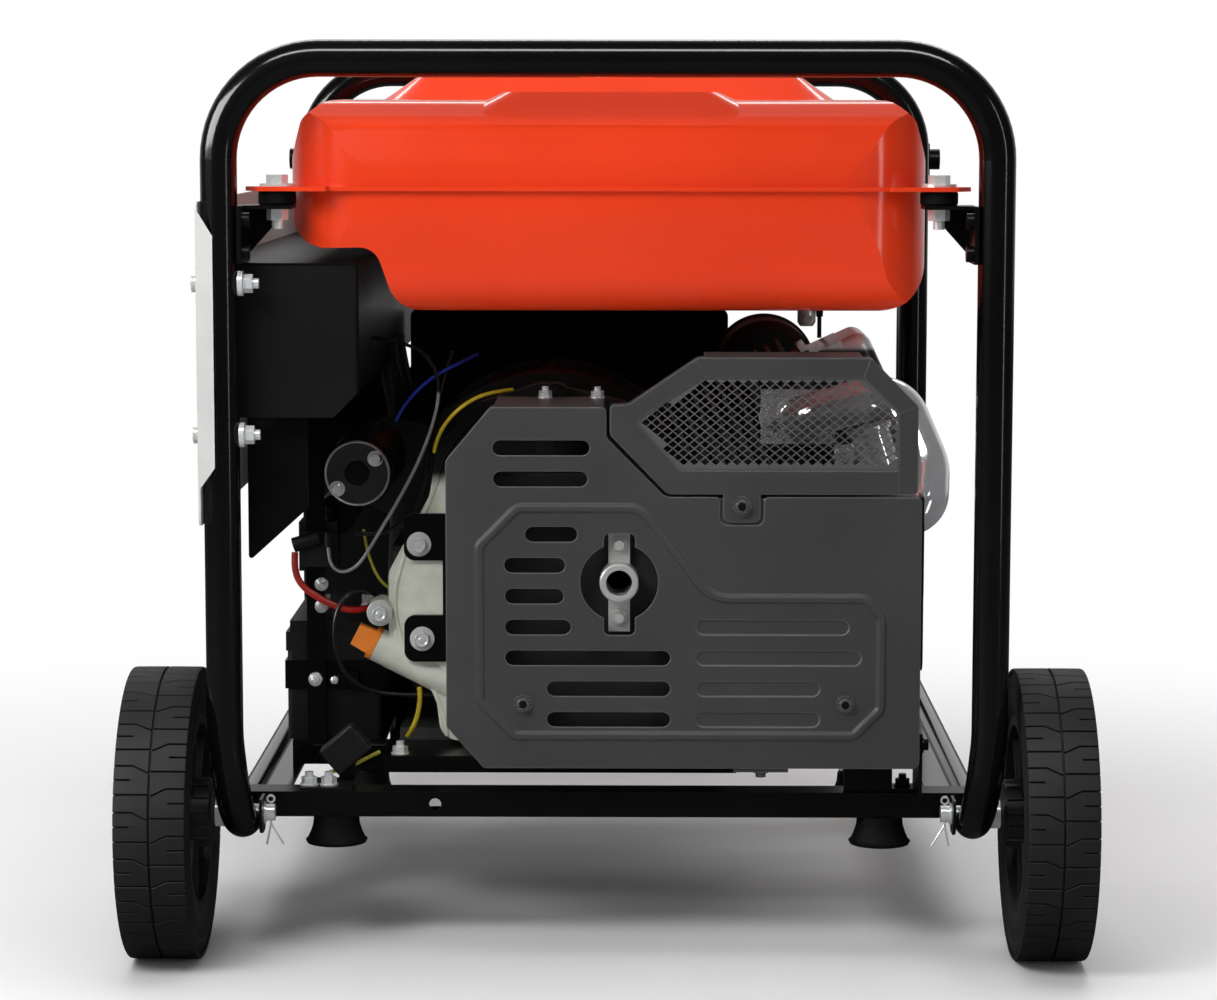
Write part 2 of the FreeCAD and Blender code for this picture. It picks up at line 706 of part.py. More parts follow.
def fuel_cap():
    """Turned cap with grip flutes over the filler neck."""
    z = seam_z + tank_top_h + 20.5 + side_play
    skirt = ring_profile(V(filler_x, 0, z), "z", [(0, 0), (0, cap_r - 1), (1, cap_r), (cap_h - 5, cap_r),
                                                  (cap_h - 2, cap_r - 3), (cap_h, cap_r - 9), (cap_h, 0)])
    flutes = []
    for i in range(12):
        t = math.radians(30 * i)
        flutes.append(along_z(2.6, filler_x + (cap_r + 1) * math.cos(t), (cap_r + 1) * math.sin(t), (z - 1, z + cap_h)))
    plug = along_z(filler_r - 1.0, filler_x, 0, (z - 9, z + 1))
    grip = box((filler_x - 20, filler_x + 20), (-4, 4), (z + cap_h - 1, z + cap_h + 4))
    return fuse([skirt.cut(flutes), plug, grip])


def tank_bracket(side, end):
    """Pressed corner bracket: a plate on the leg, a seat for the bush and a gusset."""
    inner = leg_centre - tube_r
    y0 = front - 8
    seat_z = seam_z - tank_sheet - 9.5
    plate = box((inner - 3, inner), (y0, y0 + 46), (seat_z - 39, seat_z))
    seat = box((tank_half - 6, inner), (front + 8, front + 43), (seat_z - 2.5, seat_z))
    gusset = prism("xz", [(inner, seat_z - 37), (inner, seat_z), (tank_half - 4, seat_z)], 0, front + 40.5, front + 43)
    hole = along_z(4.2, tank_half + tank_bolt_inset, front + tank_bolt_setback, (seat_z - 5, seat_z + 5))
    bolts = [rod(5.5, V(inner - 3, front, z), V(inner - 8, front, z)) for z in (seat_z - 10, seat_z - 32)]
    clip = fuse([plate, seat, gusset] + bolts).cut(hole)
    clip = clip if side > 0 else mirror_x(clip)
    return clip if end < 0 else mirror_y(clip)


def tank_brackets():
    return [tank_bracket(side, end) for side in (-1, 1) for end in (-1, 1)]


def tank_bushes():
    z0 = seam_z - tank_sheet - 9.5
    shape = [(0, 5), (0, 12), (1.2, 13), (8.3, 13), (9.5, 12), (9.5, 5)]
    return [ring_profile(V(x, y, z0), "z", shape) for x, y in tank_bolt_places()]


def tank_bolts():
    return [tank_bolt(x, y) for x, y in tank_bolt_places()]


def tank_bolt(x, y):
    z1 = seam_z + tank_sheet
    z0 = seam_z - tank_sheet - 9.5 - 2.5
    washer = along_z(12, x, y, (z1, z1 + 2))
    head = hex_prism(13, V(x, y, z1 + 2), V(x, y, z1 + 8))
    shank = along_z(3.9, x, y, (z0 - 14, z1 + 1))
    nut = hex_prism(13, V(x, y, z0 - 8), V(x, y, z0))
    return fuse([washer, head, shank, nut])


def fuel_tap():
    """Turned tap body that hangs from the tank, with its outlet spout."""
    z = seam_z - tank_deep_h
    body = ring_profile(V(tap_x, tap_y, z), "z", [(6, 0), (6, 6), (0, 6), (0, 10), (-4, 10), (-4, 7), (-22, 7),
                                                  (-25, 5), (-25, 0)])
    spout = along_y(3, tap_x, (tap_y - 22, tap_y), z - 18)
    return fuse([body, spout])


def fuel_tap_lever():
    z = seam_z - tank_deep_h - 12
    x = tap_x + 7 + side_play
    boss = along_x(6, (x, x + 5), tap_y, z)
    blade = box((x + 1, x + 4), (tap_y - 3, tap_y + 3), (z - 22, z))
    return fuse([boss, blade])


# ---- control box ---------------------------------------------------------------------------
def control_box():
    """Sheet box behind the fascia, with a cut corner over the starter."""
    z0, z1 = rail_z + box_rise[0], rail_z + box_rise[1]
    outer = -(hoop_width / 2 - tube_d) + 0.5
    y = (front + box_clear, rear - box_clear)
    cut = box_chamfer
    points = [(outer, z0), (box_inner - cut, z0), (box_inner, z0 + cut), (box_inner, z1), (outer, z1)]
    body = prism("xz", points, [0, 2, 2, 4, 0], y[0], y[1])
    neck = box((fascia_x, outer + 1), (y[0], y[1]), (z0, z1))
    t = box_sheet
    inner = prism("xz", [(outer, z0 + t), (box_inner - cut - t / 2, z0 + t), (box_inner - t, z0 + cut + t / 2),
                         (box_inner - t, z1 - t), (outer, z1 - t)], 0, y[0] + t, y[1] - t)
    mouth = box((fascia_x - 1, outer + 1), (y[0] + t, y[1] - t), (z0 + t, z1 - t))
    return fuse([body, neck]).cut([inner, mouth])


def control_fascia():
    """Face plate across both hoops, wrapped round their outer edges, cut for the sockets."""
    z0, z1 = rail_z + fascia_rise[0], rail_z + fascia_rise[1]
    x = fascia_x
    wrap = tube_r + 3
    y0, y1 = front - wrap, rear + wrap
    plate = prism("yz", [(y0, z0), (y1, z0), (y1, z1), (y0, z1)], [8, 8, 3, 3], x - fascia_t, x)
    ends = []
    cheek = [(x, z0 + 24), (x + fascia_wrap, z0 + 40), (x + fascia_wrap, z1 - 23), (x, z1 - 4)]
    for y in (y0, y1 - fascia_t):
        ends.append(prism("xz", [(a - fascia_t, b) if a == x else (a, b) for a, b in cheek], 1, y, y + fascia_t))
    pad_x = (x, -hoop_width / 2)
    pads = [along_x(7, pad_x, y, z) for y in (front, rear) for z in panel_bolt_heights()]
    body = fuse([plate] + ends + pads)
    holes = [along_x(lid_r - 4, (x - 9, x + 1), front + s, socket_z()) for s in socket_setbacks]
    holes.append(meter_cut())
    return body.cut(holes)


def panel_bolt_heights():
    return [rail_z + rise for rise in panel_bolt_rises]


def socket_z():
    return rail_z + socket_rise


def meter_cut():
    y, z = front + 120, socket_z() + 8
    return box((fascia_x - 9, fascia_x + 1), (y - 24, y + 24), (z - 14, z + 14))


def panel_meter():
    """Display bezel and window in the fascia's cut-out."""
    x = fascia_x - fascia_t
    y, z = front + 120, socket_z() + 8
    bezel = box((x - 4, fascia_x), (y - 24, y + 24), (z - 14, z + 14))
    window = box((x - 5, x - 2.8), (y - 18, y + 18), (z - 9, z + 9))
    return bezel.cut(window)


def panel_bolts():
    """Cap screws through the fascia and the legs, with washers and nuts inside the hoops."""
    bolts = []
    outer = fascia_x - fascia_t
    inner = hoop_width / 2 - tube_d
    for y in (front, rear):
        for z in panel_bolt_heights():
            head = along_x(6, (outer - 4.5, outer), y, z)
            washer = along_x(8.5, (-inner, -inner + 3.5), y, z)
            nut = hex_prism(11, V(-inner + 3.5, y, z), V(-inner + 10, y, z))
            stud = along_x(3.5, (-inner + 10, -inner + 14), y, z)
            bolts += [head, fuse([washer, nut, stud])]
    return bolts


def socket(setback):
    """Socket body in the fascia: a flanged ring with a recessed face and earth clips."""
    x = fascia_x - fascia_t
    centre = V(x, front + setback, socket_z())
    shell = ring_profile(centre, "x", [(-5, lid_r), (0, lid_r), (0, lid_r - 4.4), (12, lid_r - 4.4), (12, 0),
                                       (8, 0), (8, lid_r - 7), (-5, lid_r - 7)])
    pins = [along_x(2.4, (x + 5, x + 9), front + setback + dy, socket_z()) for dy in (-9.5, 9.5)]
    return shell.cut(pins)


def socket_lid(setback):
    """Domed spring lid with a hinge barrel at its top."""
    x = fascia_x - fascia_t - 5 - side_play
    z = socket_z()
    y = front + setback
    dome = ring_profile(V(x, y, z), "x", [(0, 0), (0, lid_r), (-5, lid_r), (-11, lid_r - 5), (-14, lid_r - 14),
                                          (-14.5, 0)])
    barrel = along_y(3.2, x - 3.2, (y - 11, y + 11), z + lid_r + 2)
    neck = box((x - 5, x), (y - 9, y + 9), (z + lid_r - 4, z + lid_r + 2))
    bore = along_y(1.5 + running_fit, x - 3.2, (y - 20, y + 20), z + lid_r + 2)
    return fuse([dome, barrel, neck]).cut(bore)


def lid_hinge(setback):
    """Hinge pin with an ear each side, which joins the socket's flange."""
    x0 = fascia_x - fascia_t
    pin_at = x0 - 5 - side_play - 3.2
    z = socket_z() + lid_r + 2
    y = front + setback
    pin = along_y(1.5, pin_at, (y - 15, y + 15), z)
    ears = [box((pin_at - 3, x0), (y + dy - 1.5, y + dy + 1.5), (z - 3.2, z + 3.2)) for dy in (-13.2, 13.2)]
    tabs = [box((x0 - 5, x0), (y + dy - 1.5, y + dy + 1.5), (z - 8, z)) for dy in (-13.2, 13.2)]
    return fuse([pin] + ears + tabs)


def sockets():
    return [fuse([socket(s), lid_hinge(s)]) for s in socket_setbacks]


def breaker():
    """Breaker body on the fascia with a slot for its toggle."""
    x = fascia_x - fascia_t
    y, z = front + 480, socket_z() + 4
    body = box((x - 6, x), (y - 17, y + 17), (z - 24, z + 24))
    cut = box((x - 7, x - 0.5), (y - 6, y + 6), (z - 10, z + 10))
    return body.cut(cut)


def breaker_toggle():
    x = fascia_x - fascia_t
    y, z = front + 480, socket_z() + 4
    drum = along_y(4.6, x - 5.6, (y - 5.5, y + 5.5), z)
    lever = prism("xz", [(x - 5.6, z), (x - 15, z + 5.4), (x - 15, z + 9.2), (x - 5.6, z + 4.6)], 0, y - 5, y + 5)
    return fuse([drum, lever])


def start_switch():
    """Turn switch: a round boss with a finger bar."""
    x = fascia_x - fascia_t
    y, z = front + 560, socket_z() + 6
    knob = along_x(15, (x - 9 - side_play, x - side_play), y, z)
    bar = box((x - 16, x - 8), (y - 3.5, y + 3.5), (z - 14, z + 14))
    return fuse([knob, bar])


def lower_side_plate():
    """Gusset that ties the control box to the front leg above the battery."""
    x0 = -(hoop_width / 2 - tube_d) + 0.5
    z1 = rail_z + box_rise[0]
    y = front + 40
    width, drop, short = 42.0, 102.5, 64.5
    points = [(x0, z1 - drop), (x0 + width, z1 - short), (x0 + width, z1), (x0, z1)]
    plate = prism("xz", points, [2, 4, 0, 0], y, y + 2)
    return fuse([plate, box((x0, x0 + width), (y, y + 20), (z1 - 2, z1))])


# ---- engine --------------------------------------------------------------------------------
def ray(distance, offset, y):
    """Point in the cylinder's own directions, from the crankshaft's axis."""
    c, s = math.cos(tilt), math.sin(tilt)
    return V(crank_x + distance * c - offset * s, y, crank_z + distance * s + offset * c)


def tilted_box(d, h, y):
    body = box((crank_x + d[0], crank_x + d[1]), y, (crank_z + h[0], crank_z + h[1]))
    return body.rotate(V(crank_x, 0, crank_z), V(0, 1, 0), -cylinder_tilt)


def cover_outline(grow):
    """Crankcase cover's outline, from the crankshaft's axis."""
    shape = [(-44, 112), (-76, 82), (-82, 44), (-112, -12), (-112, -60), (-78, -104), (-74, -136), (96, -136),
             (118, -60), (112, 40), (60, 112), (0, 126)]
    return [(crank_x + x * grow, crank_z + max(z * grow, -shaft_height + 4)) for x, z in shape]


def cover_bolts_at():
    return [(-118, -41), (-89, 10), (-87, -59), (-58, -118), (60, -122), (112, -20), (84, 84), (10, 116)]


def crankcase_cover():
    y0 = front + cover_setback
    body = prism("xz", cover_outline(1.0), 14, y0 + 8, block_y)
    face = prism("xz", cover_outline(0.86), 12, y0, y0 + 8)
    bosses = [along_y(9.5, crank_x + x, (y0, block_y), crank_z + z) for x, z in cover_bolts_at()]
    bearing = ring_profile(V(crank_x, y0, crank_z), "y", [(-7, 0), (-7, 26), (-4, 31), (1, 34), (1, 0)])
    neck = rod(filler_tube_r, filler_start(), filler_end())
    body = fuse([body, face, bearing, neck] + bosses)
    seat = rod(filler_tube_r - 4, filler_end() - filler_run() * 22, filler_end() + filler_run())
    bore = along_y(shaft_d / 2 + running_fit, crank_x, (y0 - 5 - side_play, block_y + 1), crank_z)
    return body.cut([seat, bore])


def filler_run():
    return V(-math.cos(math.radians(27)), 0, math.sin(math.radians(27)))


def filler_start():
    return V(crank_x - 66, front + cover_setback + 14, crank_z - 94)


def filler_end():
    return filler_start() + filler_run() * 62


def dipstick():
    """Filler plug with a flange, a finger tab and a blade that reaches into the crankcase."""
    run = filler_run()
    seat = filler_end() + run * side_play
    flange = rod(12.5, seat, seat + run * 4)
    up = V(-run.z, 0, run.x)
    corners = [seat + run * 3 + up * 9, seat + run * 17 + up * 8, seat + run * 17 - up * 8, seat + run * 3 - up * 9]
    corners = [p + V(0, -4.5, 0) for p in corners]
    tab = Part.Face(Part.makePolygon(corners + [corners[0]])).extrude(V(0, 9, 0))
    plug = rod(filler_tube_r - 4 - running_fit * 2, seat - run * 14, seat + run)
    return fuse([flange, tab, plug])


def crankcase():
    """Block with its foot flange, cooling ribs, bearing bore and a seat for the starter."""
    y = (block_y, block_y + block_t)
    body = prism("xz", cover_outline(0.9), 14, y[0], y[1])
    foot = box((tray_x[0] + 8, tray_x[1] - 8), (y[0] + 4, y[1] - 4), (tray_top, tray_top + 9))
    pad = prism("xz", [(starter_x() - 22, starter_z() - 30), (crank_x - 60, crank_z - 20), (crank_x - 50, crank_z + 70),
                       (starter_x() + 4, starter_z() + 30)], 12, y[1] - 14, y[1] - 4)
    pad = pad.cut(along_y(starter_r, starter_x(), (y[1] - 20, y[1]), starter_z()))
    rib_z = [crank_z - 90 + 30 * i for i in range(4)]
    ribs = [box((crank_x - 112, crank_x - 70), (y[0] + 20, y[1] - 30), (z - 2, z + 2)) for z in rib_z]
    bore = along_y(shaft_d / 2 + running_fit, crank_x, (y[0] - 1, y[1] + 1), crank_z)
    battery_side = box((battery_x[0], battery_x[1] + 3), (battery_y[0] - 3 + front, battery_y[1] + 3 + front),
                       (0, crank_z - 40))
    return fuse([body, foot, pad] + ribs).cut([bore, battery_side])


def cylinder():
    """Finned barrel that leans out of the crankcase."""
    mid = (block_y + block_y + block_t) / 2
    y = (mid - 60, mid + 60)
    reach = 96 + fin_count * fin_pitch
    barrel = rod(47, ray(70, 0, mid), ray(reach, 0, mid))
    fins = [tilted_box((96 + i * fin_pitch, 96 + i * fin_pitch + fin_t), (-60, 60), y) for i in range(fin_count)]
    clear = prism("xz", cover_outline(0.9), 14, block_y, block_y + block_t)
    return fuse([barrel] + fins).cut(clear)


def head_start():
    return 96 + fin_count * fin_pitch


def cylinder_head():
    """Head with its own fins, intake and exhaust faces and a plug well."""
    d0 = head_start()
    mid = block_y + block_t / 2
    block = tilted_box((d0, d0 + 46), (-48, 48), (mid - 52, mid + 52))
    fins = [tilted_box((d0 + 6 + i * 9, d0 + 6 + i * 9 + fin_t), (-60, 60), (mid - 60, mid + 60)) for i in range(4)]
    port = rod(21, V(port_at().x, mid - 66, port_at().z), V(port_at().x, mid - 50, port_at().z))
    intake = rod(21, V(intake_at().x, mid + 50, intake_at().z), V(intake_at().x, mid + 66, intake_at().z))
    body = fuse([block, port, intake] + fins)
    well = rod(11, ray(d0 + 20, -70, mid + 24), ray(d0 + 26, -30, mid + 20))
    return body.cut(well)


def port_at():
    return ray(head_start() + 24, 12, 0)


def intake_at():
    return ray(head_start() + 16, 6, 0)


def spark_plug():
    """Plug and its boot in the well under the head."""
    d0 = head_start()
    mid = block_y + block_t / 2
    run = (ray(d0 + 20, -70, mid + 24) - ray(d0 + 26, -30, mid + 20)).normalize()
    seat = ray(d0 + 26, -30, mid + 20)
    plug = rod(7, seat, seat + run * 30)
    boot = rod(9.5, seat + run * 30, seat + run * 62)
    return fuse([plug, boot])


def valve_cover():
    d0 = head_start() + 46
    mid = block_y + block_t / 2
    rim_part = tilted_box((d0, d0 + 6), (-52, 52), (mid - 54, mid + 54))
    dome = tilted_box((d0 + 6, d0 + 50), (-47, 47), (mid - 49, mid + 49))
    dome = dome.makeFillet(10, dome.Edges)
    skirt = tilted_box((d0 + 4, d0 + 30), (-47, 47), (mid - 49, mid + 49))
    return fuse([rim_part, skirt, dome])


def starter_x():
    return starter_at[0]


def starter_z():
    return crank_z + starter_at[1]


def starter_motor():
    """Starter with a turned end cap, two through screws and its solenoid."""
    y0 = front + 150
    centre = V(starter_x(), y0, starter_z())
    r = starter_r
    run = block_y + block_t - 4 - y0
    body = ring_profile(centre, "y", [(0, 0), (0, r - 1.5), (1.5, r), (16, r), (16, r + 1.2), (run - 14, r + 1.2),
                                      (run - 14, r), (run, r), (run, 0)])
    boss = ring_profile(centre, "y", [(-3, 0), (-3, 8), (-2, 8.8), (1, 8.8), (1, 0)])
    screws = [flange_bolt(V(starter_x() + dx, y0, starter_z() + dz), V(0, -1, 0), 4.4) for dx, dz in
              ((15.7, 11.0), (-15.7, -11.0))]
    solenoid = along_y(15, starter_x() - 20, (y0 + 46, y0 + 118), starter_z() - 36)
    strap = box((starter_x() - 24, starter_x() - 6), (y0 + 60, y0 + 72), (starter_z() - 34, starter_z() - 14))
    return fuse([body, boss, solenoid, strap] + screws)


def crankshaft():
    """Shaft through the engine, with the taper that carries the rotor."""
    r = shaft_d / 2
    y1 = drum_y + drum_length - 20
    shaft = ring_profile(V(crank_x, 0, crank_z), "y", [(block_y - cover_t - 5, 0), (block_y - cover_t - 5, r),
                                                       (drum_y + 20, r), (drum_y + 60, r - 4), (y1, r - 4), (y1, 0)])
    return shaft


def stator():
    """Wound stator on the crankcase: a core of poles with a coil on each."""
    y = (drum_y + 12, drum_y + 92)
    core = ring_profile(V(crank_x, 0, crank_z), "y", [(drum_y, 22), (drum_y, 44), (y[0] + 14, 44), (y[1], 44),
                                                      (y[1], 22)])
    coils = []
    for i in range(12):
        coil = box((crank_x - 7, crank_x + 7), (y[0] + 18, y[1] - 4), (crank_z + 42, crank_z + 74))
        coils.append(coil.rotate(V(crank_x, 0, crank_z), V(0, 1, 0), 30 * i))
    return fuse([core] + coils)


def rotor():
    """Cup of magnets round the stator, with the cooling fan cast on its far face."""
    y0, y1 = drum_y + 22, drum_y + 108
    cup = ring_profile(V(crank_x, 0, crank_z), "y", [(y0, 79), (y0, 96), (y1 + 8, 96), (y1 + 8, 5), (y1 - 6, 5),
                                                     (y1 - 6, 30), (y1 - 2, 79)])
    blades = []
    for i in range(10):
        blade = box((crank_x - 1.8, crank_x + 1.8), (y1 + 6, y1 + 34), (crank_z + 42, crank_z + 94))
        blade.rotate(V(crank_x, 0, crank_z + 68), V(0, 0, 1), 28)
        blades.append(blade.rotate(V(crank_x, 0, crank_z), V(0, 1, 0), 36 * i))
    return fuse([cup] + blades)


def alternator_housing():
    """Cast drum behind the crankcase, with a flange, long ribs and air slots at both ends."""
    r = drum_r
    centre = V(crank_x, drum_y, crank_z)
    drum = ring_profile(centre, "y", [(0, 60), (0, r + 6), (8, r + 6), (8, r), (drum_length - 8, r),
                                      (drum_length - 8, r + 4), (drum_length, r + 4), (drum_length, r - drum_wall),
                                      (6, r - drum_wall), (6, 60)])
    ribs, vents = [], []
    for i in range(16):
        turn = 360 * i / 16
        rib = box((crank_x - 2, crank_x + 2), (drum_y + 6, drum_y + drum_length - 6), (crank_z + r - 2, crank_z + r + 4))
        ribs.append(rib.rotate(V(crank_x, 0, crank_z), V(0, 1, 0), turn))
        if crank_z - r > tray_top + 4 or not 150 < turn < 210:
            vent = box((crank_x - 13, crank_x + 13), (drum_y + 128, drum_y + 160), (crank_z + r - 9, crank_z + r + 9))
            vents.append(vent.rotate(V(crank_x, 0, crank_z), V(0, 1, 0), turn + 11.25))
    feet = [box((crank_x + s * 70 - 16, crank_x + s * 70 + 16), (drum_y + 120, drum_y + 150), (tray_top, crank_z - 84))
            for s in (-1, 1)]
    inside = along_y(r - drum_wall, crank_x, (drum_y + 6, drum_y + drum_length + 1), crank_z)
    return fuse([drum] + ribs + feet).cut(vents + [inside])


def recoil_cover():
    """Pressed starter cover with air slots, a lip and a spout for the rope."""
    y0 = recoil_y
    centre = V(crank_x, y0, crank_z)
    r, t, w = recoil_r, recoil_t, 2.0
    skin = [(0, 0), (0, drum_r + 4), (w, drum_r + 4), (w, r), (t - 16, r), (t - 4, r - 12), (t, r - 26), (t, 0)]
    back = [(-1, 0), (-1, r - w), (t - 16.5, r - w), (t - 4 - w, r - 13.4), (t - w, r - 27), (t - w, 0)]
    spout = along_x(12, (crank_x + 50, crank_x + r + 14), pull_y(), pull_z())
    cover = fuse([ring_profile(centre, "y", skin), spout]).cut(ring_profile(centre, "y", back))
    cuts = [along_x(4, (crank_x + 40, crank_x + r + 20), pull_y(), pull_z())]
    for i in range(14):
        face_slot = box((crank_x - 4.5, crank_x + 4.5), (y0 + t - 9, y0 + t + 2), (crank_z + 32, crank_z + 62))
        cuts.append(face_slot.rotate(V(crank_x, 0, crank_z), V(0, 1, 0), 360 * i / 14))
        turn = 360 * (i + 0.5) / 14
        if not 30 < turn < 90:
            side_slot = box((crank_x - 7, crank_x + 7), (y0 + 14, y0 + 38), (crank_z + r - 8, crank_z + r + 8))
            cuts.append(side_slot.rotate(V(crank_x, 0, crank_z), V(0, 1, 0), turn))
    return cover.cut(cuts)


def fan_shroud():
    """Sheet round the alternator's end that closes the engine bay, with a folded rim."""
    y = recoil_y - 6
    x0, x1 = shroud_x
    z0, z1 = tray_top + 1.5, tray_top + shroud_rise
    side = box_inner + 4.5
    points = [(x0, z0), (x1, z0), (x1, z1 - 92), (x1 - 100, z1 - 40), (x1 - 100, z1), (side, z1),
              (side, rail_z + box_rise[0] - 1.5), (x0, rail_z + box_rise[0] - 1.5)]
    wire = outline("xz", points, [6, 6, 10, 10, 6, 6, 4, 4], y)
    pan = Part.Face(wire).extrude(V(0, shroud_lip, 0))
    inner = Part.Face(wire.makeOffset2D(-shroud_t)).extrude(V(0, shroud_lip, 0)).translated(V(0, shroud_t, 0))
    return pan.cut([inner, along_y(drum_r + 4, crank_x, (y - 1, y + shroud_t + 1), crank_z)])


def pull_y():
    return recoil_y + 33


def pull_z():
    return crank_z + recoil_sheave_r()


def recoil_sheave_r():
    return 58.0


def pull_x():
    return crank_x + recoil_r + 14 + side_play


def recoil_grip():
    """Moulded pull handle across the end of the rope."""
    x, y, z = pull_x(), pull_y(), pull_z()
    points = [(x, z - 10), (x, z + 10), (x + 14, z + 12), (x + 20, z + 38), (x + 34, z + 38), (x + 34, z - 38),
              (x + 20, z - 38), (x + 14, z - 12)]
    grip = prism("xz", points, [2, 2, 6, 6, 6, 6, 6, 6], y - 9, y + 9)
    return grip.makeFillet(3, [e for e in grip.Edges if e.Length > 30 and abs(e.tangentAt(e.FirstParameter).y) < 0.1])


def starter_rope():
    return along_x(2.2, (pull_x() - pull_length, pull_x()), pull_y(), pull_z())


def air_cleaner():
    """Round air cleaner with a stepped lid and a central nut."""
    x, z = 122.0, crank_z + 119
    y = front + 356
    body = ring_profile(V(x, y, z), "y", [(0, 0), (0, 33), (5, 39), (62, 39), (62, 41), (68, 41), (68, 39), (92, 39),
                                          (98, 33), (98, 0)])
    nut = ring_profile(V(x, y - 8, z), "y", [(0, 0), (0, 7), (9, 9), (9, 0)])
    duct = along_y(19, intake_at().x, (carburettor_y()[1], y + 20), intake_at().z)
    return fuse([body, nut, duct])


def carburettor_y():
    mid = block_y + block_t / 2
    return mid + 66, mid + 118


def carburettor():
    """Carburettor between the head and the air cleaner's duct."""
    p = intake_at()
    y = carburettor_y()
    throat = along_y(17, p.x, y, p.z)
    flange = box((p.x - 26, p.x + 26), (y[0], y[0] + 7), (p.z - 18, p.z + 18))
    bowl = along_z(18.2, p.x, (y[0] + y[1]) / 2, (p.z - 48, p.z - 13.5))
    nut = hex_prism(11, V(p.x, (y[0] + y[1]) / 2, p.z - 53), V(p.x, (y[0] + y[1]) / 2, p.z - 48))
    cx, cy, cz = choke_pivot()
    pin = along_z(2, cx, cy, (p.z + 14, cz + 7))
    throat = fuse([throat, flange, bowl, nut, pin])
    return throat.cut(along_y(12, p.x, (y[0] - 1, y[1] + 1), p.z))


def choke_pivot():
    p = intake_at()
    return p.x, carburettor_y()[0] + 36, p.z + 17 + side_play


def choke_lever():
    x, y, z = choke_pivot()
    boss = along_z(6, x, y, (z, z + 5))
    arm = box((x, x + 34), (y - 3, y + 3), (z + 1, z + 4))
    knob = along_z(5.5, x + 34, y, (z - 1, z + 8))
    return fuse([boss, arm, knob]).cut(along_z(2 + running_fit, x, y, (z - 1, z + 6)))


# ---- muffler, heat shield and exhaust ------------------------------------------------------
def muffler_box():
    x = (shield_left + 12, shield_right - 17)
    z = (tray_top + 22, tray_top + shield_mid + 12)
    y = (front + muffler_setback, front + muffler_setback + muffler_depth)
    return x, y, z


def outlet_z():
    return tray_top + outlet_rise


def muffler():
    """Rounded sheet box with seams at its ends, bosses for the shield and roof stays."""
    x, y, z = muffler_box()
    t = muffler_sheet
    outer = prism("xz", [(x[0], z[0]), (x[1], z[0]), (x[1], z[1]), (x[0], z[1])], 14, y[0], y[1])
    seams = [prism("xz", [(x[0] - 2, z[0] - 2), (x[1] + 2, z[0] - 2), (x[1] + 2, z[1] + 2), (x[0] - 2, z[1] + 2)], 16,
                   level, level + 3) for level in (y[0] + 4, y[1] - 7)]
    inner = prism("xz", [(x[0] + t, z[0] + t), (x[1] - t, z[0] + t), (x[1] - t, z[1] - t), (x[0] + t, z[1] - t)],
                  14 - t, y[0] + t, y[1] - t)
    body = fuse([outer] + seams).cut(inner)
    bosses = [along_y(7, bx, (shield_y + shield_t, y[0] + t), bz) for bx, bz in shield_screw_places()]
    roof = tray_top + shield_high - shield_t
    stays = [box((sx - 6, sx + 6), (y[1] - 12, y[1] - 10), (z[1] - t, roof)) for sx in roof_bolt_x()]
    pads = [along_y(9, shield_left + 20, (y[1] - t, front + cover_setback - 4), pz) for pz in bracket_heights()]
    end = pipe_points()[-1]
    return fuse([body] + bosses + stays + pads).cut([
        along_y(outlet_od / 2, outlet_x, (y[0] - 1, y[0] + t + 1), outlet_z()),
        along_x(pipe_od / 2, (end.x, end.x + 30), end.y, end.z)])


def roof_bolt_x():
    return -45.0, -8.0


def shield_screw_places():
    z = tray_top + 51.5
    return [(shield_left + 53.5, z), (shield_right - 52, z)]


def bracket_heights():
    return crank_z + 10, crank_z - 59


def muffler_bracket():
    """Plate behind the muffler with two rounded tabs that bolt to the crankcase cover."""
    y = (front + cover_setback - 4, front + cover_setback)
    high, low = bracket_heights()
    strip = box((shield_left - 8, shield_left + 28), y, (low - 17, high + 22))
    tabs = []
    for z0, z1 in ((high - 12, high + 22), (low - 17, low + 17)):
        points = [(shield_left - 36, z0), (shield_left + 10, z0), (shield_left + 10, z1), (shield_left - 36, z1)]
        tabs.append(prism("xz", points, [8, 0, 0, 8], y[0], y[1]))
    return fuse([strip] + tabs)


def engine_bolts():
    """Flange bolts of the crankcase cover; two of them hold the muffler's bracket."""
    y0 = front + cover_setback
    bolts = []
    for x, z in cover_bolts_at():
        on_tab = z in (10, -59) and x < -80
        seat = y0 - 4 if on_tab else y0
        bolts.append(flange_bolt(V(crank_x + x, seat, crank_z + z), V(0, -1, 0), 8.2))
    bolts.append(nut_and_stud(V(tray_x[0] + 12, front + tray_y[0] + 8, tray_top), V(0, 0, 1), 6))
    return bolts


def outlet_pipe():
    """Outlet tube with its bored end."""
    y0 = shield_y - 5
    y1 = muffler_box()[1][0] + 12
    return ring_profile(V(outlet_x, y0, outlet_z()), "y", [
        (0, outlet_id / 2), (0, outlet_od / 2 - 1), (1, outlet_od / 2), (y1 - y0, outlet_od / 2), (y1 - y0, outlet_id / 2)])


def outlet_strap():
    """Strap over and under the outlet, with its feet on the muffler."""
    y1 = muffler_box()[1][0]
    half = 7.5
    top = outlet_z() + 34
    low = outlet_z() - 36
    face = box((outlet_x - half, outlet_x + half), (y1 - 8, y1 - 6), (low, top))
    feet = [box((outlet_x - half, outlet_x + half), (y1 - 8, y1), (a, a + 2)) for a in (low, top - 2)]
    screws = [flange_bolt(V(outlet_x, y1 - 8, outlet_z() + dz), V(0, -1, 0), 5.5) for dz in (25, -26)]
    strap = fuse([face] + feet + screws)
    return strap.cut(along_y(outlet_od / 2, outlet_x, (y1 - 9, y1), outlet_z()))


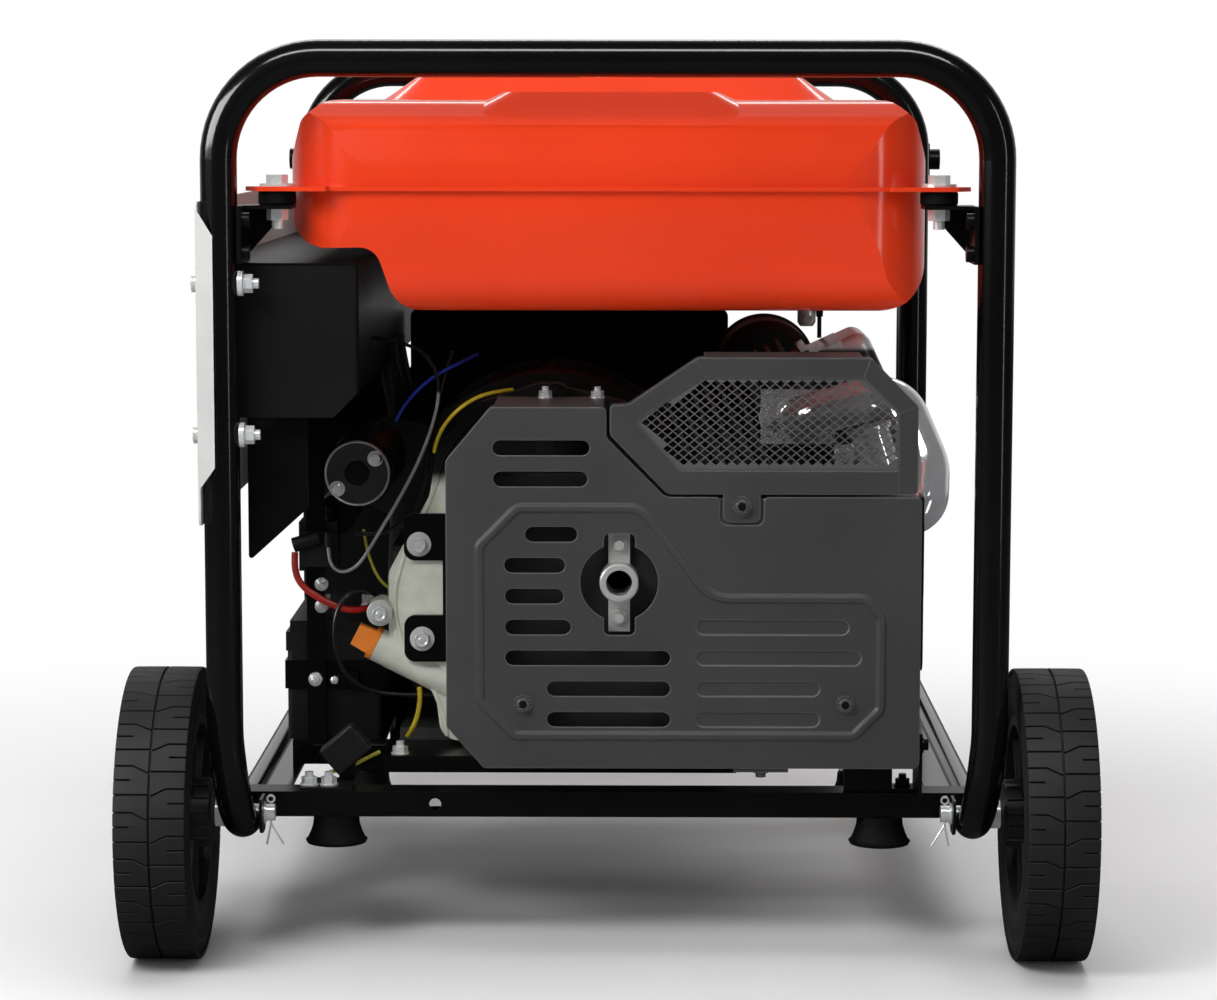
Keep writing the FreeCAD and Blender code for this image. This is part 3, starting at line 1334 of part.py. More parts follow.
def shield_outline():
    low = tray_top + shield_low
    mid = tray_top + shield_mid
    high = tray_top + shield_high
    notch = notch_x
    return [(shield_left, low + 29), (shield_left, high - 37), (shield_left + 31, high), (-1, high), (-1, high - 21),
            (40, mid), (notch[0], mid), (notch[0], mid - 19.5), (notch[1], mid - 19.5), (notch[1], mid),
            (shield_right, mid), (shield_right, low), (shield_left + 26, low)]


def shield_slots():
    """Through slots as (from x, to x, height above the tray), in even rows."""
    low, pitch = 40.3, 21.6
    rows = [(-42, 43.5), (-42, 43.5), (-71, 43.5), (-71, -25.5), (-71, -30.5), (-71.5, -29.5), (-57, -21)]
    slots = [(a, b, low + pitch * i) for i, (a, b) in enumerate(rows)]
    return slots + [(-79, -14, low + 168), (-79.5, -12.5, low + 168 + pitch)]


def closed_slots():
    low, pitch = 40.3, 21.6
    rows = [(61.5, 147.5), (61.5, 147.5), (61.5, 176), (61.5, 167.5)]
    return [(a, b, low + pitch * i) for i, (a, b) in enumerate(rows)]


def bead_outline():
    t = tray_top
    return [(-92, t + 51), (-92, t + 163), (-64, t + 191.5), (25, t + 191.5), (73, t + 128.5), (180, t + 128.5),
            (193.5, t + 113), (193.5, t + 46), (172.5, t + 25), (-66, t + 25)]


def bead():
    """Pressed bead that follows the shield's shape, with sloped sides."""
    width, h = 7.0, 1.8
    foot = outline("xz", bead_outline(), [10, 10, 12, 24, 24, 12, 8, 10, 10, 10], shield_y)
    crest = foot.makeOffset2D(-h).translated(V(0, -h, 0))
    inner_foot = foot.makeOffset2D(-width)
    inner_crest = foot.makeOffset2D(-width + h).translated(V(0, -h, 0))
    outside = Part.makeLoft([foot, crest], True, True)
    inside = Part.makeLoft([inner_foot, inner_crest], True, True)
    return outside.cut(inside)


def heat_shield():
    """Stamped shield: rim, roof, pressed bead, rows of slots and the hole for the outlet."""
    y = (shield_y, shield_y + shield_rim)
    t = shield_t
    wire = outline("xz", shield_outline(), [4, 4, 4, 4, 7, 9, 3, 5, 5, 3, 4, 5, 4], y[0])
    pan = Part.Face(wire).extrude(V(0, shield_rim, 0))
    inner = Part.Face(wire.makeOffset2D(-t)).extrude(V(0, shield_rim + 1, 0)).translated(V(0, t, 0))
    high = tray_top + shield_high
    low = tray_top + shield_low
    roof = box((shield_left + 33, -3), (y[0] + 2, y[0] + shield_roof), (high - t, high))
    notch = notch_x
    lip = box((notch[0] - 3, notch[1] + 3), (y[0] + t, y[0] + 2 * t), (tray_top + shield_mid - 24, tray_top + shield_mid - 1))
    foot = box((88, 126), (y[0] + 2, y[0] + 14), (low - 3, low))
    backs = [slot((a - 2.5, b + 2.5), tray_top + z, (y[0] + t - 0.2, y[0] + t + 1), slot_h + 5)
             for a, b, z in closed_slots()]
    shield = fuse([pan.cut(inner), roof, lip, foot, bead()] + backs)
    cuts = [slot((a, b), tray_top + z, (y[0] - 3, y[0] + t + 0.5), slot_h) for a, b, z in shield_slots()]
    cuts += [slot((a, b), tray_top + z, (y[0] - 3, y[0] + 1.2), slot_h) for a, b, z in closed_slots()]
    cuts.append(along_y(outlet_hole_r, outlet_x, (y[0] - 3, y[0] + t + 1), outlet_z()))
    cuts.append(prism("xz", [(outlet_x - 10.5, outlet_z() - 37), (outlet_x + 11, outlet_z() - 37),
                             (outlet_x + 11, outlet_z() + 34), (outlet_x - 10.5, outlet_z() + 34)], 4, y[0] - 3, y[0] + 3))
    cuts += [along_y(3.2, x, (y[0] - 3, y[0] + t + 1), z) for x, z in shield_screw_places()]
    cuts.append(along_y(3.2, sum(notch) / 2, (y[0] - 3, y[0] + 9), tray_top + shield_mid - 6))
    return shield.cut(cuts)


def shield_screws():
    """Screws of the shield, the mesh frame's tab, the roof and the foot below."""
    screws = [flange_bolt(V(x, shield_y, z), V(0, -1, 0), 6) for x, z in shield_screw_places()]
    tab = V(sum(notch_x) / 2, shield_y - 1, tray_top + shield_mid - 6)
    screws.append(flange_bolt(tab, V(0, -1, 0), 6.4))
    x, y, z = muffler_box()
    for sx in roof_bolt_x():
        screws.append(nut_and_stud(V(sx, y[1] - 11, tray_top + shield_high), V(0, 0, 1), 5))
    screws.append(flange_bolt(V(107, shield_y + 8, tray_top + shield_low - 3), V(0, 0, -1), 5))
    return screws


def mesh_outline():
    mid = tray_top + shield_mid
    tab = (notch_x[0] + 2.5, notch_x[1] - 2.5)
    return [(1.5, mid + 43), (1.5, mid + 63.5), (14, mid + 64), (62, mid + 96.4), (181, mid + 96.4),
            (213.8, mid + 63), (213.8, mid + 2), (tab[1], mid + 2), (tab[1], mid - 17.5), (tab[0], mid - 17.5),
            (tab[0], mid + 2), (41.5, mid + 2)]


def window_outline():
    mid = tray_top + shield_mid
    return [(19, mid + 53), (65, mid + 82.5), (176, mid + 82.5), (201, mid + 58), (201, mid + 18.5), (49.5, mid + 18.5)]


def mesh_frame():
    """Folded frame round the mesh window, with a deep top flange and a screwed tab."""
    y0 = shield_y - 1
    t = shield_t
    wire = outline("xz", mesh_outline(), [5, 3, 8, 8, 8, 4, 3, 0, 5, 5, 0, 8], y0)
    pan = Part.Face(wire).extrude(V(0, shield_rim, 0))
    inner = Part.Face(wire.makeOffset2D(-t)).extrude(V(0, shield_rim + 1, 0)).translated(V(0, t, 0))
    top = tray_top + shield_mid + 96.4
    roof = box((67, 176), (y0 + 2, y0 + 58), (top - t, top))
    window = prism("xz", window_outline(), 1, y0 - 1, y0 + t + 1)
    hole = along_y(3.2, sum(notch_x) / 2, (y0 - 1, y0 + 9), tray_top + shield_mid - 6)
    keep = box((-20, 240), (y0 - 1, y0 + shield_rim + 2), (tray_top + shield_mid + 6, top + 1))
    flat = Part.Face(wire).extrude(V(0, t, 0))
    rim_part = pan.cut(inner).common(keep)
    return fuse([flat, rim_part, roof]).cut([window, hole])


def mesh_screen():
    """Expanded metal behind the window: rows of diamonds, each row shifted by half a pitch."""
    y0 = shield_y - 1 + shield_t
    border = Part.Face(outline("xz", window_outline(), 0, y0))
    inner = Part.Face(outline("xz", window_outline(), 0, y0).makeOffset2D(-1.0))
    grown = border.OuterWire.makeOffset2D(5)
    low = window_outline()[4][1]
    left, right = window_outline()[0][0], window_outline()[3][0]
    high = window_outline()[1][1]
    half, tall = mesh_pitch / 2 - mesh_wire * 0.7, mesh_rise / 2 - mesh_wire * 0.6
    wires = [grown]
    row = 0
    z = low + mesh_rise / 2
    while z < high:
        x = left + (mesh_pitch / 2 if row % 2 else 0)
        while x < right:
            ends = [V(x + half, y0, z), V(x, y0, z + tall), V(x - half, y0, z), V(x, y0, z - tall)]
            if all(inner.isInside(p, 0.01, True) for p in ends):
                wires.append(Part.makePolygon(ends + [ends[0]]))
            x += mesh_pitch
        z += mesh_rise / 2
        row += 1
    sheet = Part.Face(wires, "Part::FaceMakerBullseye")
    return sheet.extrude(V(0, mesh_wire, 0))


def pipe_points():
    head = port_at()
    mid = block_y + block_t / 2
    x, y, z = muffler_box()
    end_y = y[0] + muffler_depth / 2
    return [V(head.x, mid - 66, head.z), V(head.x, mid - 92, head.z), V(206, front + 134, head.z + 22),
            V(227, front + 104, z[1] + 2), V(224, end_y, z[1] - 30), V(x[1] - 6, end_y, z[1] - 30)]


def exhaust_pipe():
    """Bright header from the head's port round to the muffler's side, with end flanges."""
    points = pipe_points()
    radii = [0, 20, 26, 40, 18, 0]
    outer = pipe(points, radii, pipe_od / 2)
    inner = pipe(points, radii, pipe_od / 2 - pipe_wall)
    first = points[0]
    flange = box((first.x - 27, first.x + 27), (first.y - 7, first.y), (first.z - 20, first.z + 20))
    bolts = [nut_and_stud(V(first.x + dx, first.y - 7, first.z), V(0, -1, 0), 7) for dx in (-21, 21)]
    x, y, z = muffler_box()
    collar = along_x(pipe_od / 2 + 4, (x[1], x[1] + 5), points[-1].y, points[-1].z)
    return fuse([outer, flange, collar] + bolts).cut(inner)


def inlet_stub():
    """Leaning stub on the muffler's top with its clamp bolt."""
    x, y, z = muffler_box()
    low = V(x[1] - 6, y[1] - 22, z[1] - 1)
    high = low + V(-9, 0, 28)
    stub = rod(14, low, high)
    cap = rod(16, high, high + (high - low).normalize() * 4)
    ear = box((low.x - 34, low.x), (low.y - 2, low.y + 2), (z[1] - 1, z[1] + 18))
    bolt = flange_bolt(V(low.x - 25, low.y - 2, z[1] + 10), V(0, -1, 0), 8)
    return fuse([stub, cap, ear, bolt])


def side_guard():
    """Black plate beside the muffler, lower where the exhaust passes over it."""
    x = shield_right
    mid = tray_top + shield_mid
    points = [(front + 30, mid - 123), (front + 170, mid - 123), (front + 170, mid - 50), (front + 64, mid - 50),
              (front + 56, mid), (front + 30, mid)]
    return prism("yz", points, [10, 14, 10, 4, 4, 2], x, x + 2)


def shield_stay():
    """Upright strap from the cross rail to the shield's rim, with its bolts."""
    x = shield_right
    z = tray_top + shield_low + 10
    strap = box((x, x + 2.5), (shield_y + 4, front + 80), (rail_top, z + 14))
    foot = box((x - 16, x + 2.5), (front + 60, front + 80), (rail_top, rail_top + 2.5))
    rear_part = box((x - 50, x - 16), (front + 60, front + 66), (rail_top, tray_top + shield_low - 0.5))
    bolt = flange_bolt(V(x + 2.5, shield_y + 12, z + 5), V(1, 0, 0), 5.5)
    nut = nut_and_stud(V(x - 8, front + 70, rail_top + 2.5), V(0, 0, 1), 5.5)
    return fuse([strap, foot, rear_part, bolt, nut])


# ---- battery and electrics -----------------------------------------------------------------
def battery():
    """Battery case with a stepped lid and two threaded posts."""
    x, z = battery_x, (battery_z, battery_z + battery_h)
    y = (front + battery_y[0], front + battery_y[1])
    case = box(x, y, (z[0], z[1] - 22))
    case = case.makeFillet(4, [e for e in case.Edges if abs(e.tangentAt(e.FirstParameter).z) > 0.9])
    lid = box((x[0] - 0.8, x[1] + 0.8), (y[0] - 0.8, y[1] + 0.8), (z[1] - 22, z[1] - 8))
    crown = box((x[0] + 2, x[1] - 2), (y[0] + 2, y[1] - 2), (z[1] - 8, z[1]))
    posts = [box((px - 6, px + 6), (y[0] + 8, y[0] + 20), (z[1], z[1] + 9)) for px in battery_posts()]
    return fuse([case, lid, crown] + posts)


def battery_posts():
    return battery_x[0] + 25, battery_x[1] - 9


def battery_terminals():
    z = battery_z + battery_h + 9
    y = front + battery_y[0] + 14
    tabs = [box((px - 6, px + 6), (y - 6, y + 6), (z, z + 2)) for px in battery_posts()]
    bolts = [hex_prism(10, V(px, y, z + 2), V(px, y, z + 9)) for px in battery_posts()]
    return [fuse([a, b]) for a, b in zip(tabs, bolts)]


def battery_strap():
    """Band round the battery with its clamp bolt at the front."""
    x = battery_x
    y = (front + battery_y[0], front + battery_y[1])
    z = (battery_z + 38, battery_z + 59)
    w = 1.5
    outer = box((x[0] - w, x[1] + w), (y[0] - w, y[1] + w), z)
    band = outer.cut(box(x, y, (z[0] - 1, z[1] + 1)))
    clamp = box((x[0] + 39, x[0] + 53), (y[0] - w - 8, y[0] - w), (z[0] + 3, z[0] + 14))
    bolt = nut_and_stud(V(x[0] + 39, y[0] - w - 4, z[0] + 8), V(-1, 0, 0), 5)
    return fuse([band, clamp, bolt])


def battery_tray():
    """Folded tray that carries the battery over the side angle and a crossbar."""
    x = (battery_x[0] + 4, battery_x[1] + 3)
    y = (front + battery_y[0] - 6, front + battery_y[1] + 6)
    t = 2.5
    plate = box(x, y, (battery_z - t, battery_z))
    left = box((x[0], x[0] + t), y, (rail_top, battery_z))
    bar_top = rail_top - angle_wall
    bar_y = front + crossbar_setbacks[0]
    right = box((x[1] - t, x[1]), (bar_y, bar_y + crossbar_width), (bar_top, battery_z))
    return fuse([plate, left, right])


def relay_post():
    """Upright strap from the battery tray to the control box, with the starter relay."""
    y0 = front + battery_y[0] - 6
    x = (relay_x - 8.4, relay_x + 5)
    return box(x, (y0 - 2.5, y0), (battery_z - 2.5, rail_z + box_rise[0]))


def starter_relay():
    y0 = front + battery_y[0] - 6
    x = relay_x
    z = battery_z + battery_h + 38
    body = box((x - 14, x + 14), (y0, y0 + 30), (z, z + 36))
    cap = box((x - 11, x + 11), (y0 - 8, y0), (z + 4, z + 30))
    cap = cap.cut(relay_post())
    studs = [along_z(3, x + dx, y0 + 15, (z + 36, z + 46)) for dx in (-7, 7)]
    boot = rod(5.5, V(x + 2, y0 - 9, z + 26), V(x - 17, y0 - 9, z + 20))
    plug = rod(3.2, V(x + 8.5, y0 - 11, z + 30), V(x + 8.5, y0 - 11, z + 19.2))
    return fuse([body, cap, boot, plug] + studs)


def regulator_at():
    return -187.5, tray_top + 7.4


def regulator():
    """Small potted box, clipped at a slant to its bracket on the cross rail."""
    x, z = regulator_at()
    y = (front + 80, front + 98)
    body = box((x - 15.5, x + 15.5), y, (z - 11.5, z + 11.5))
    body = body.makeFillet(2, body.Edges)
    body.rotate(V(x, 0, z), V(0, 1, 0), -41)
    upright = box((x - 6, x + 6), (y[1], y[1] + 2), (rail_top, z + 6))
    foot = box((x - 31, x + 6), (front + 62, y[1] + 2), (rail_top, rail_top + 1.8))
    return fuse([body, upright, foot])


def regulator_nuts():
    x = regulator_at()[0]
    return [nut_and_stud(V(x + dx, front + 72, rail_top + 1.8), V(0, 0, 1), 6) for dx in (-25, -11)]


# ---- wires, each a route of straight runs joined by large arcs -----------------------------
def wire_radii(points):
    radii = [0.0]
    for i in range(1, len(points) - 1):
        a = points[i] - points[i - 1]
        b = points[i + 1] - points[i]
        radii.append(0.45 * min(a.Length, b.Length) / math.tan(a.getAngle(b) / 2))
    return radii + [0.0]


def wire(name, points, d):
    """Points are (x, distance behind the front hoop, z)."""
    route = [V(x, front + y, z) for x, y, z in points]
    radii = wire_radii(route)
    path = Part.Wire(rounded_edges(route, radii, False))
    body = pipe(route, radii, d / 2)
    section = math.pi * d * d / 4
    print(name, "length", round(path.Length, 1), "tightest", round(min(r for r in radii if r), 1),
          "volume ratio", round(body.Volume / (section * path.Length), 4))
    return body


def wires():
    red = [(-229, 151, 273.3), (-230, 150.5, 261), (-224, 149.5, 248), (-208, 148, 238), (-193, 149, 231.5),
           (-183, 156, 230.5), (-177, 165, 230.5), (-177, 174, 230.5)]
    white = [(-204.5, 149, 277), (-204, 146, 266), (-195, 142, 259), (-183, 140, 264), (-174, 139, 277),
             (-164, 138.5, 294), (-153, 138, 312), (-139, 138, 338), (-127.5, 139, 366), (-122, 141, 392),
             (-127, 141, 414), (-144, 141, 427), (-170.5, 141, 431)]
    yellow = [(-126.4, 142, 348), (-124, 130, 359), (-115, 126, 374), (-101, 128, 386), (-85, 137, 392),
              (-70, 149, 392.8)]
    loop = [(-172, 166, 240), (-178, 152, 247), (-189, 141, 245), (-198, 135, 233), (-200, 133, 213),
            (-196, 133, 194), (-186, 136, 179), (-170, 141, 171.5), (-148, 144, 169), (-127.4, 147, 169)]
    return {"red_battery_lead": wire("red", red, 5.0), "white_lead": wire("white", white, 2.6),
            "yellow_lead": wire("yellow", yellow, 2.8), "sensor_lead": wire("loop", loop, 3.2)}


# ---- assembly ------------------------------------------------------------------------------
def both_sides(make):
    return [make(side) for side in (-1, 1)]


def frame_parts():
    hoop = front_hoop()
    rail = cross_rail().cut(hoop)
    rails = [base_rail(), side_angle()]
    brackets = [axle_plate(), mirror_x(axle_plate()), lower_side_plate()] + both_sides(handle_bracket)
    return {
        "front_hoop": hoop.cut(axle_holes()),
        "rear_hoop": mirror_y(hoop),
        "base_rails": group(rails + [mirror_x(rail) for rail in rails]),
        "cross_members": group([rail.cut(cross_rail_hole()), mirror_y(rail)] + engine_crossbars()),
        "engine_tray": engine_tray(),
        "rubber_mounts": group(engine_mounts() + tank_bushes()),
        "frame_brackets": group(brackets + tank_brackets()),
        "axles": group([axle(), mirror_x(axle()), cotter_pin(), mirror_x(cotter_pin())]),
        "rubber_feet": group(both_sides(front_foot) + both_sides(rear_foot)),
        "rear_legs": group(both_sides(rear_leg)),
    }


def moving_frame_parts():
    model = {
        "tyre_left": mirror_x(tyre()),
        "tyre_right": tyre(),
        "rim_left": mirror_x(rim()),
        "rim_right": rim(),
        "handle_bar": handle_bar(),
        "handle_grip": handle_grip(),
    }
    for i, setback in enumerate(socket_setbacks):
        model["socket_lid_%d" % (i + 1)] = socket_lid(setback)
    return model


def tank_parts():
    return {
        "fuel_tank_top": fuel_tank_top(),
        "fuel_tank_bottom": fuel_tank_bottom(),
        "fuel_cap": fuel_cap(),
        "fuel_tap": fuel_tap(),
        "fuel_tap_lever": fuel_tap_lever(),
    }


def control_parts():
    return {
        "control_box": control_box(),
        "control_fascia": control_fascia(),
        "panel_fittings": group([panel_meter(), breaker()] + sockets()),
        "breaker_toggle": breaker_toggle(),
        "start_switch": start_switch(),
    }


def engine_parts():
    return {
        "crankcase_cover": crankcase_cover(),
        "dipstick": dipstick(),
        "crankcase": crankcase(),
        "cylinder": cylinder(),
        "cylinder_head": group([cylinder_head(), spark_plug()]),
        "valve_cover": valve_cover(),
        "starter_motor": starter_motor(),
        "stator": stator(),
        "rotor": fuse([rotor(), crankshaft()]),
        "alternator_housing": alternator_housing(),
        "recoil_cover": group([recoil_cover(), fan_shroud()]),
        "recoil_grip": fuse([recoil_grip(), starter_rope()]),
        "air_cleaner": air_cleaner(),
        "carburettor": carburettor(),
        "choke_lever": choke_lever(),
    }


def exhaust_parts():
    body = muffler()
    return {
        "muffler": body,
        "outlet_pipe": group([outlet_pipe(), outlet_strap()]),
        "exhaust_pipe": group([exhaust_pipe(), inlet_stub().cut(body)]),
        "exhaust_brackets": group([muffler_bracket(), side_guard(), shield_stay()]),
        "heat_shield": heat_shield(),
        "mesh_frame": mesh_frame(),
        "mesh_screen": mesh_screen(),
    }


def electrical_parts():
    return {
        "battery": battery(),
        "battery_tray": group([battery_tray(), battery_strap(), relay_post()]),
        "electrical_modules": group([starter_relay(), regulator()]),
    }


def fasteners():
    return {
        "bright_bolts": group(panel_bolts() + tank_bolts() + engine_bolts() + battery_terminals() + regulator_nuts()),
        "shield_screws": group(shield_screws()),
    }


def main():
    os.makedirs("parts", exist_ok=True)
    model = {}
    for make in (frame_parts, moving_frame_parts, tank_parts, control_parts, engine_parts, exhaust_parts,
                 electrical_parts, fasteners, wires):
        model.update(make())
    for name, shape in model.items():
        if not shape.isValid():
            print("not valid:", name)
        shape.exportStep("parts/%s.step" % name)
    print(len(model), "nodes")


main()
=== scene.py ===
import math
import bmesh
import bpy
from mathutils import Matrix, Vector


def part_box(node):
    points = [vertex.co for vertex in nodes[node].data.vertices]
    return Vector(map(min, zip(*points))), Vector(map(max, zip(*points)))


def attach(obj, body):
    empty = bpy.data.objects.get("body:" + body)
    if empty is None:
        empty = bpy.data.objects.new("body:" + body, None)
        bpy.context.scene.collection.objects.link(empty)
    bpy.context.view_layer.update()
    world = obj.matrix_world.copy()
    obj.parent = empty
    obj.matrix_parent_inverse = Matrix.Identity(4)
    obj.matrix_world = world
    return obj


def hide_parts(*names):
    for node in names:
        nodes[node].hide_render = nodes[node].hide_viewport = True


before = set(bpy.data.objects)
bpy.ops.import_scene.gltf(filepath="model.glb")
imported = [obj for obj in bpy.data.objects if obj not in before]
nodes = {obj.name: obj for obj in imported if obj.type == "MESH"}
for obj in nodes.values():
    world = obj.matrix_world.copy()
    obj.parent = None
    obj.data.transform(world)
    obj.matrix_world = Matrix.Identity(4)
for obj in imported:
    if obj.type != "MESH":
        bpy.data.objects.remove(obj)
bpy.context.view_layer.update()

print("stage: frame loaded,", len(nodes), "nodes")


edgeLean = (0.01, 0.22)  # lean of the rounded normal where an edge's painted highlight starts and where it is full


class Level:  # one output socket; sums on it add Math nodes
    def __init__(self, recipe, socket):
        self.recipe = recipe
        self.socket = socket

    def __add__(self, other):
        return self.recipe.sum("ADD", self, other)

    def __sub__(self, other):
        return self.recipe.sum("SUBTRACT", self, other)

    def __rsub__(self, other):
        return self.recipe.sum("SUBTRACT", other, self)

    def __mul__(self, other):
        return self.recipe.sum("MULTIPLY", self, other)

    __radd__ = __add__
    __rmul__ = __mul__


class Graph:  # a node tree that is filled by expressions
    def __init__(self, tree, place="Generated"):
        self.tree = tree
        self.place = self.node("ShaderNodeTexCoord", out=place)

    def feed(self, socket, value):
        if isinstance(value, Level):
            self.tree.links.new(value.socket, socket)
        elif isinstance(value, tuple) and socket.type == "RGBA":
            socket.default_value = (*value[:3], 1.0)
        else:
            socket.default_value = value

    def node(self, kind, settings=None, inputs=None, out=0):
        made = self.tree.nodes.new(kind)
        for key, value in (settings or {}).items():
            setattr(made, key, value)
        for key, value in (inputs or {}).items():
            self.feed(made.inputs[key], value)
        return Level(self, made.outputs[out])

    def sum(self, operation, first, second=0.0):
        return self.node("ShaderNodeMath", {"operation": operation}, {0: first, 1: second})

    def mix(self, mask, base, over):
        return self.node("ShaderNodeMix", {"data_type": "RGBA"}, {0: mask, 6: base, 7: over}, 2)

    def noise(self, scale, detail=3.0, rough=0.55, where=None):
        inputs = {"Vector": where or self.place, "Scale": scale, "Detail": detail, "Roughness": rough}
        return self.node("ShaderNodeTexNoise", None, inputs)

    def spots(self, scale, **settings):
        return self.node("ShaderNodeTexVoronoi", settings, {"Vector": self.place, "Scale": scale})

    def rise(self, level, low, high):  # 0 below low, 1 above high, smooth between
        settings = {"interpolation_type": "SMOOTHSTEP"}
        return self.node("ShaderNodeMapRange", settings, {0: level, 1: low, 2: high})

    def axes(self):  # x, y and z of the place
        split = self.node("ShaderNodeSeparateXYZ", None, {0: self.place})
        return [Level(self, out) for out in split.socket.node.outputs]

    def edges(self, radius):  # 1 beside sharp edges, 0 on flats
        soft = self.node("ShaderNodeBevel", {"samples": 8}, {"Radius": radius})
        flat = self.node("ShaderNodeNewGeometry", out="Normal")
        along = self.node("ShaderNodeVectorMath", {"operation": "DOT_PRODUCT"}, {0: soft, 1: flat}, "Value")
        return self.rise(1.0 - along, *edgeLean)

    def stretched(self, scale):
        return self.node("ShaderNodeMapping", None, {"Vector": self.place, "Scale": scale})


class Recipe(Graph):  # one finish and its nodes
    def __init__(self, name, colour, roughness, metallic=0.0, **fixed):
        self.material = bpy.data.materials.new(name)
        self.material.use_nodes = True
        super().__init__(self.material.node_tree, "Object")
        self.shader = self.tree.nodes["Principled BSDF"]
        self.paint(Base_Color=colour, Roughness=roughness, Metallic=metallic, **fixed)

    def paint(self, **values):
        for name, value in values.items():
            self.feed(self.shader.inputs[name.replace("_", " ")], value)
        return self.material

    def relief(self, height, softEdge=0.0):  # height and the edges' rounding in metres
        inputs = {"Height": height, "Distance": 1.0, "Strength": 1.0}
        if softEdge:
            inputs["Normal"] = self.node("ShaderNodeBevel", {"samples": 4}, {"Radius": softEdge})
        self.feed(self.shader.inputs["Normal"], self.node("ShaderNodeBump", None, inputs))


shade = {
    "framePaint": (0.0018, 0.0018, 0.0018),
    "bracketPaint": (0.0026, 0.0026, 0.0026),
    "tankRed": (0.72, 0.044, 0.010),
    "shieldGrey": (0.043, 0.043, 0.045),
    "meshGrey": (0.085, 0.085, 0.086),
    "shroudBlack": (0.0030, 0.0030, 0.0032),
    "boxBlack": (0.0070, 0.0070, 0.0072),
    "fasciaGrey": (0.60, 0.60, 0.585),
    "tyreBlack": (0.0070, 0.0070, 0.0066),
    "mountBlack": (0.0026, 0.0026, 0.0026),
    "gripBlack": (0.0085, 0.0085, 0.0088),
    "rimBlack": (0.010, 0.010, 0.0105),
    "plasticBlack": (0.0060, 0.0060, 0.0062),
    "filterBlack": (0.0040, 0.0040, 0.0042),
    "batteryBlack": (0.0055, 0.0055, 0.0057),
    "lidBlue": (0.03, 0.30, 0.66),
    "orange": (0.86, 0.25, 0.02),
    "alloy": (0.80, 0.81, 0.71),
    "darkAlloy": (0.050, 0.050, 0.048),
    "castingShadeBlack": (0.004, 0.004, 0.004),
    "iron": (0.06, 0.058, 0.055),
    "zinc": (0.82, 0.82, 0.80),
    "dullZinc": (0.70, 0.70, 0.69),
    "shadedZinc": (0.13, 0.13, 0.13),
    "valveChrome": (0.80, 0.80, 0.80),
    "shadedChrome": (0.03, 0.03, 0.03),
    "chrome": (0.84, 0.84, 0.85),
    "pipeSteel": (0.58, 0.575, 0.55),
    "mufflerSteel": (0.022, 0.022, 0.022),
    "starterBlack": (0.0050, 0.0050, 0.0052),
    "starterEnd": (0.020, 0.021, 0.019),
    "wireRed": (0.62, 0.020, 0.012),
    "wireWhite": (0.30, 0.30, 0.29),
    "wireYellow": (0.62, 0.46, 0.02),
    "wireBlue": (0.010, 0.030, 0.30),
    "wireEarth": (0.45, 0.42, 0.03),
    "wireBlack": (0.0065, 0.0065, 0.0065),
    "wireShadeBlack": (0.005, 0.005, 0.005),
}


def times(colour, factor, more=0.0):
    return tuple(c * factor + more for c in colour)


def glossPaint(name, colour, peel=0.000012, roughness=0.14, gloss=0.32):
    r = Recipe(name, colour, roughness, Specular_IOR_Level=gloss)
    broad = r.noise(6.0, 2.0)
    fine = r.noise(420.0, 2.0, 0.5)
    dust = r.rise(r.noise(1900.0, 2.0, 0.6), 0.66, 0.78)
    lighter = times(colour, 1.10, 0.0006)
    r.paint(Base_Color=r.mix(r.rise(broad, 0.35, 0.7), colour, lighter))
    r.paint(Roughness=roughness + 0.04 * broad + 0.08 * dust)
    r.relief(fine * peel * 2.0 + r.noise(150.0, 2.0) * peel * 3.0)
    return r.material


def powderPaint(name, colour, roughness=0.42, grain=0.00003, softEdge=0.0, gloss=0.4, edgeHighlight=0.0,
                shaded=None):  # shaded: x and z over which painted shade makes it dark
    r = Recipe(name, colour, roughness, Specular_IOR_Level=gloss)
    fleck = r.noise(2600.0, 3.0, 0.65)
    cloud = r.noise(9.0, 4.0, 0.6)
    lighter = times(colour, 1.30, 0.001)
    darker = times(colour, 0.86)
    tone = r.mix(r.rise(cloud, 0.3, 0.72), darker, colour)
    tone = r.mix(r.rise(fleck, 0.55, 0.72) * 0.55, tone, lighter)
    # painted highlight: lighter colour along sharp edges, for light caught by the rounded rims
    if edgeHighlight:
        tone = r.mix(r.edges(softEdge), tone, times(colour, edgeHighlight))
    # painted shade: dark beyond the given x and z
    if shaded:
        beside = r.sum("MAXIMUM", r.rise(r.axes()[0], *shaded[0]), r.rise(r.axes()[2], *shaded[1]))
        tone = r.mix(beside, tone, times(colour, 0.12))
    r.paint(Base_Color=tone)
    r.paint(Roughness=roughness + 0.10 * cloud + 0.10 * (fleck - 0.5))
    r.relief(r.noise(900.0, 3.0, 0.6) * grain + fleck * grain * 0.5, softEdge)
    return r.material


def mouldedPlastic(name, colour, roughness=0.45, grain=0.00002):
    r = Recipe(name, colour, roughness, Specular_IOR_Level=0.4)
    skin = r.spots(1500.0, feature="SMOOTH_F1")
    cloud = r.noise(14.0, 3.0)
    lighter = times(colour, 1.30, 0.001)
    r.paint(Base_Color=r.mix(r.rise(cloud, 0.35, 0.75) * 0.6, colour, lighter))
    r.paint(Roughness=roughness + 0.12 * (cloud - 0.5) + 0.08 * skin)
    r.relief(skin * grain)
    return r.material


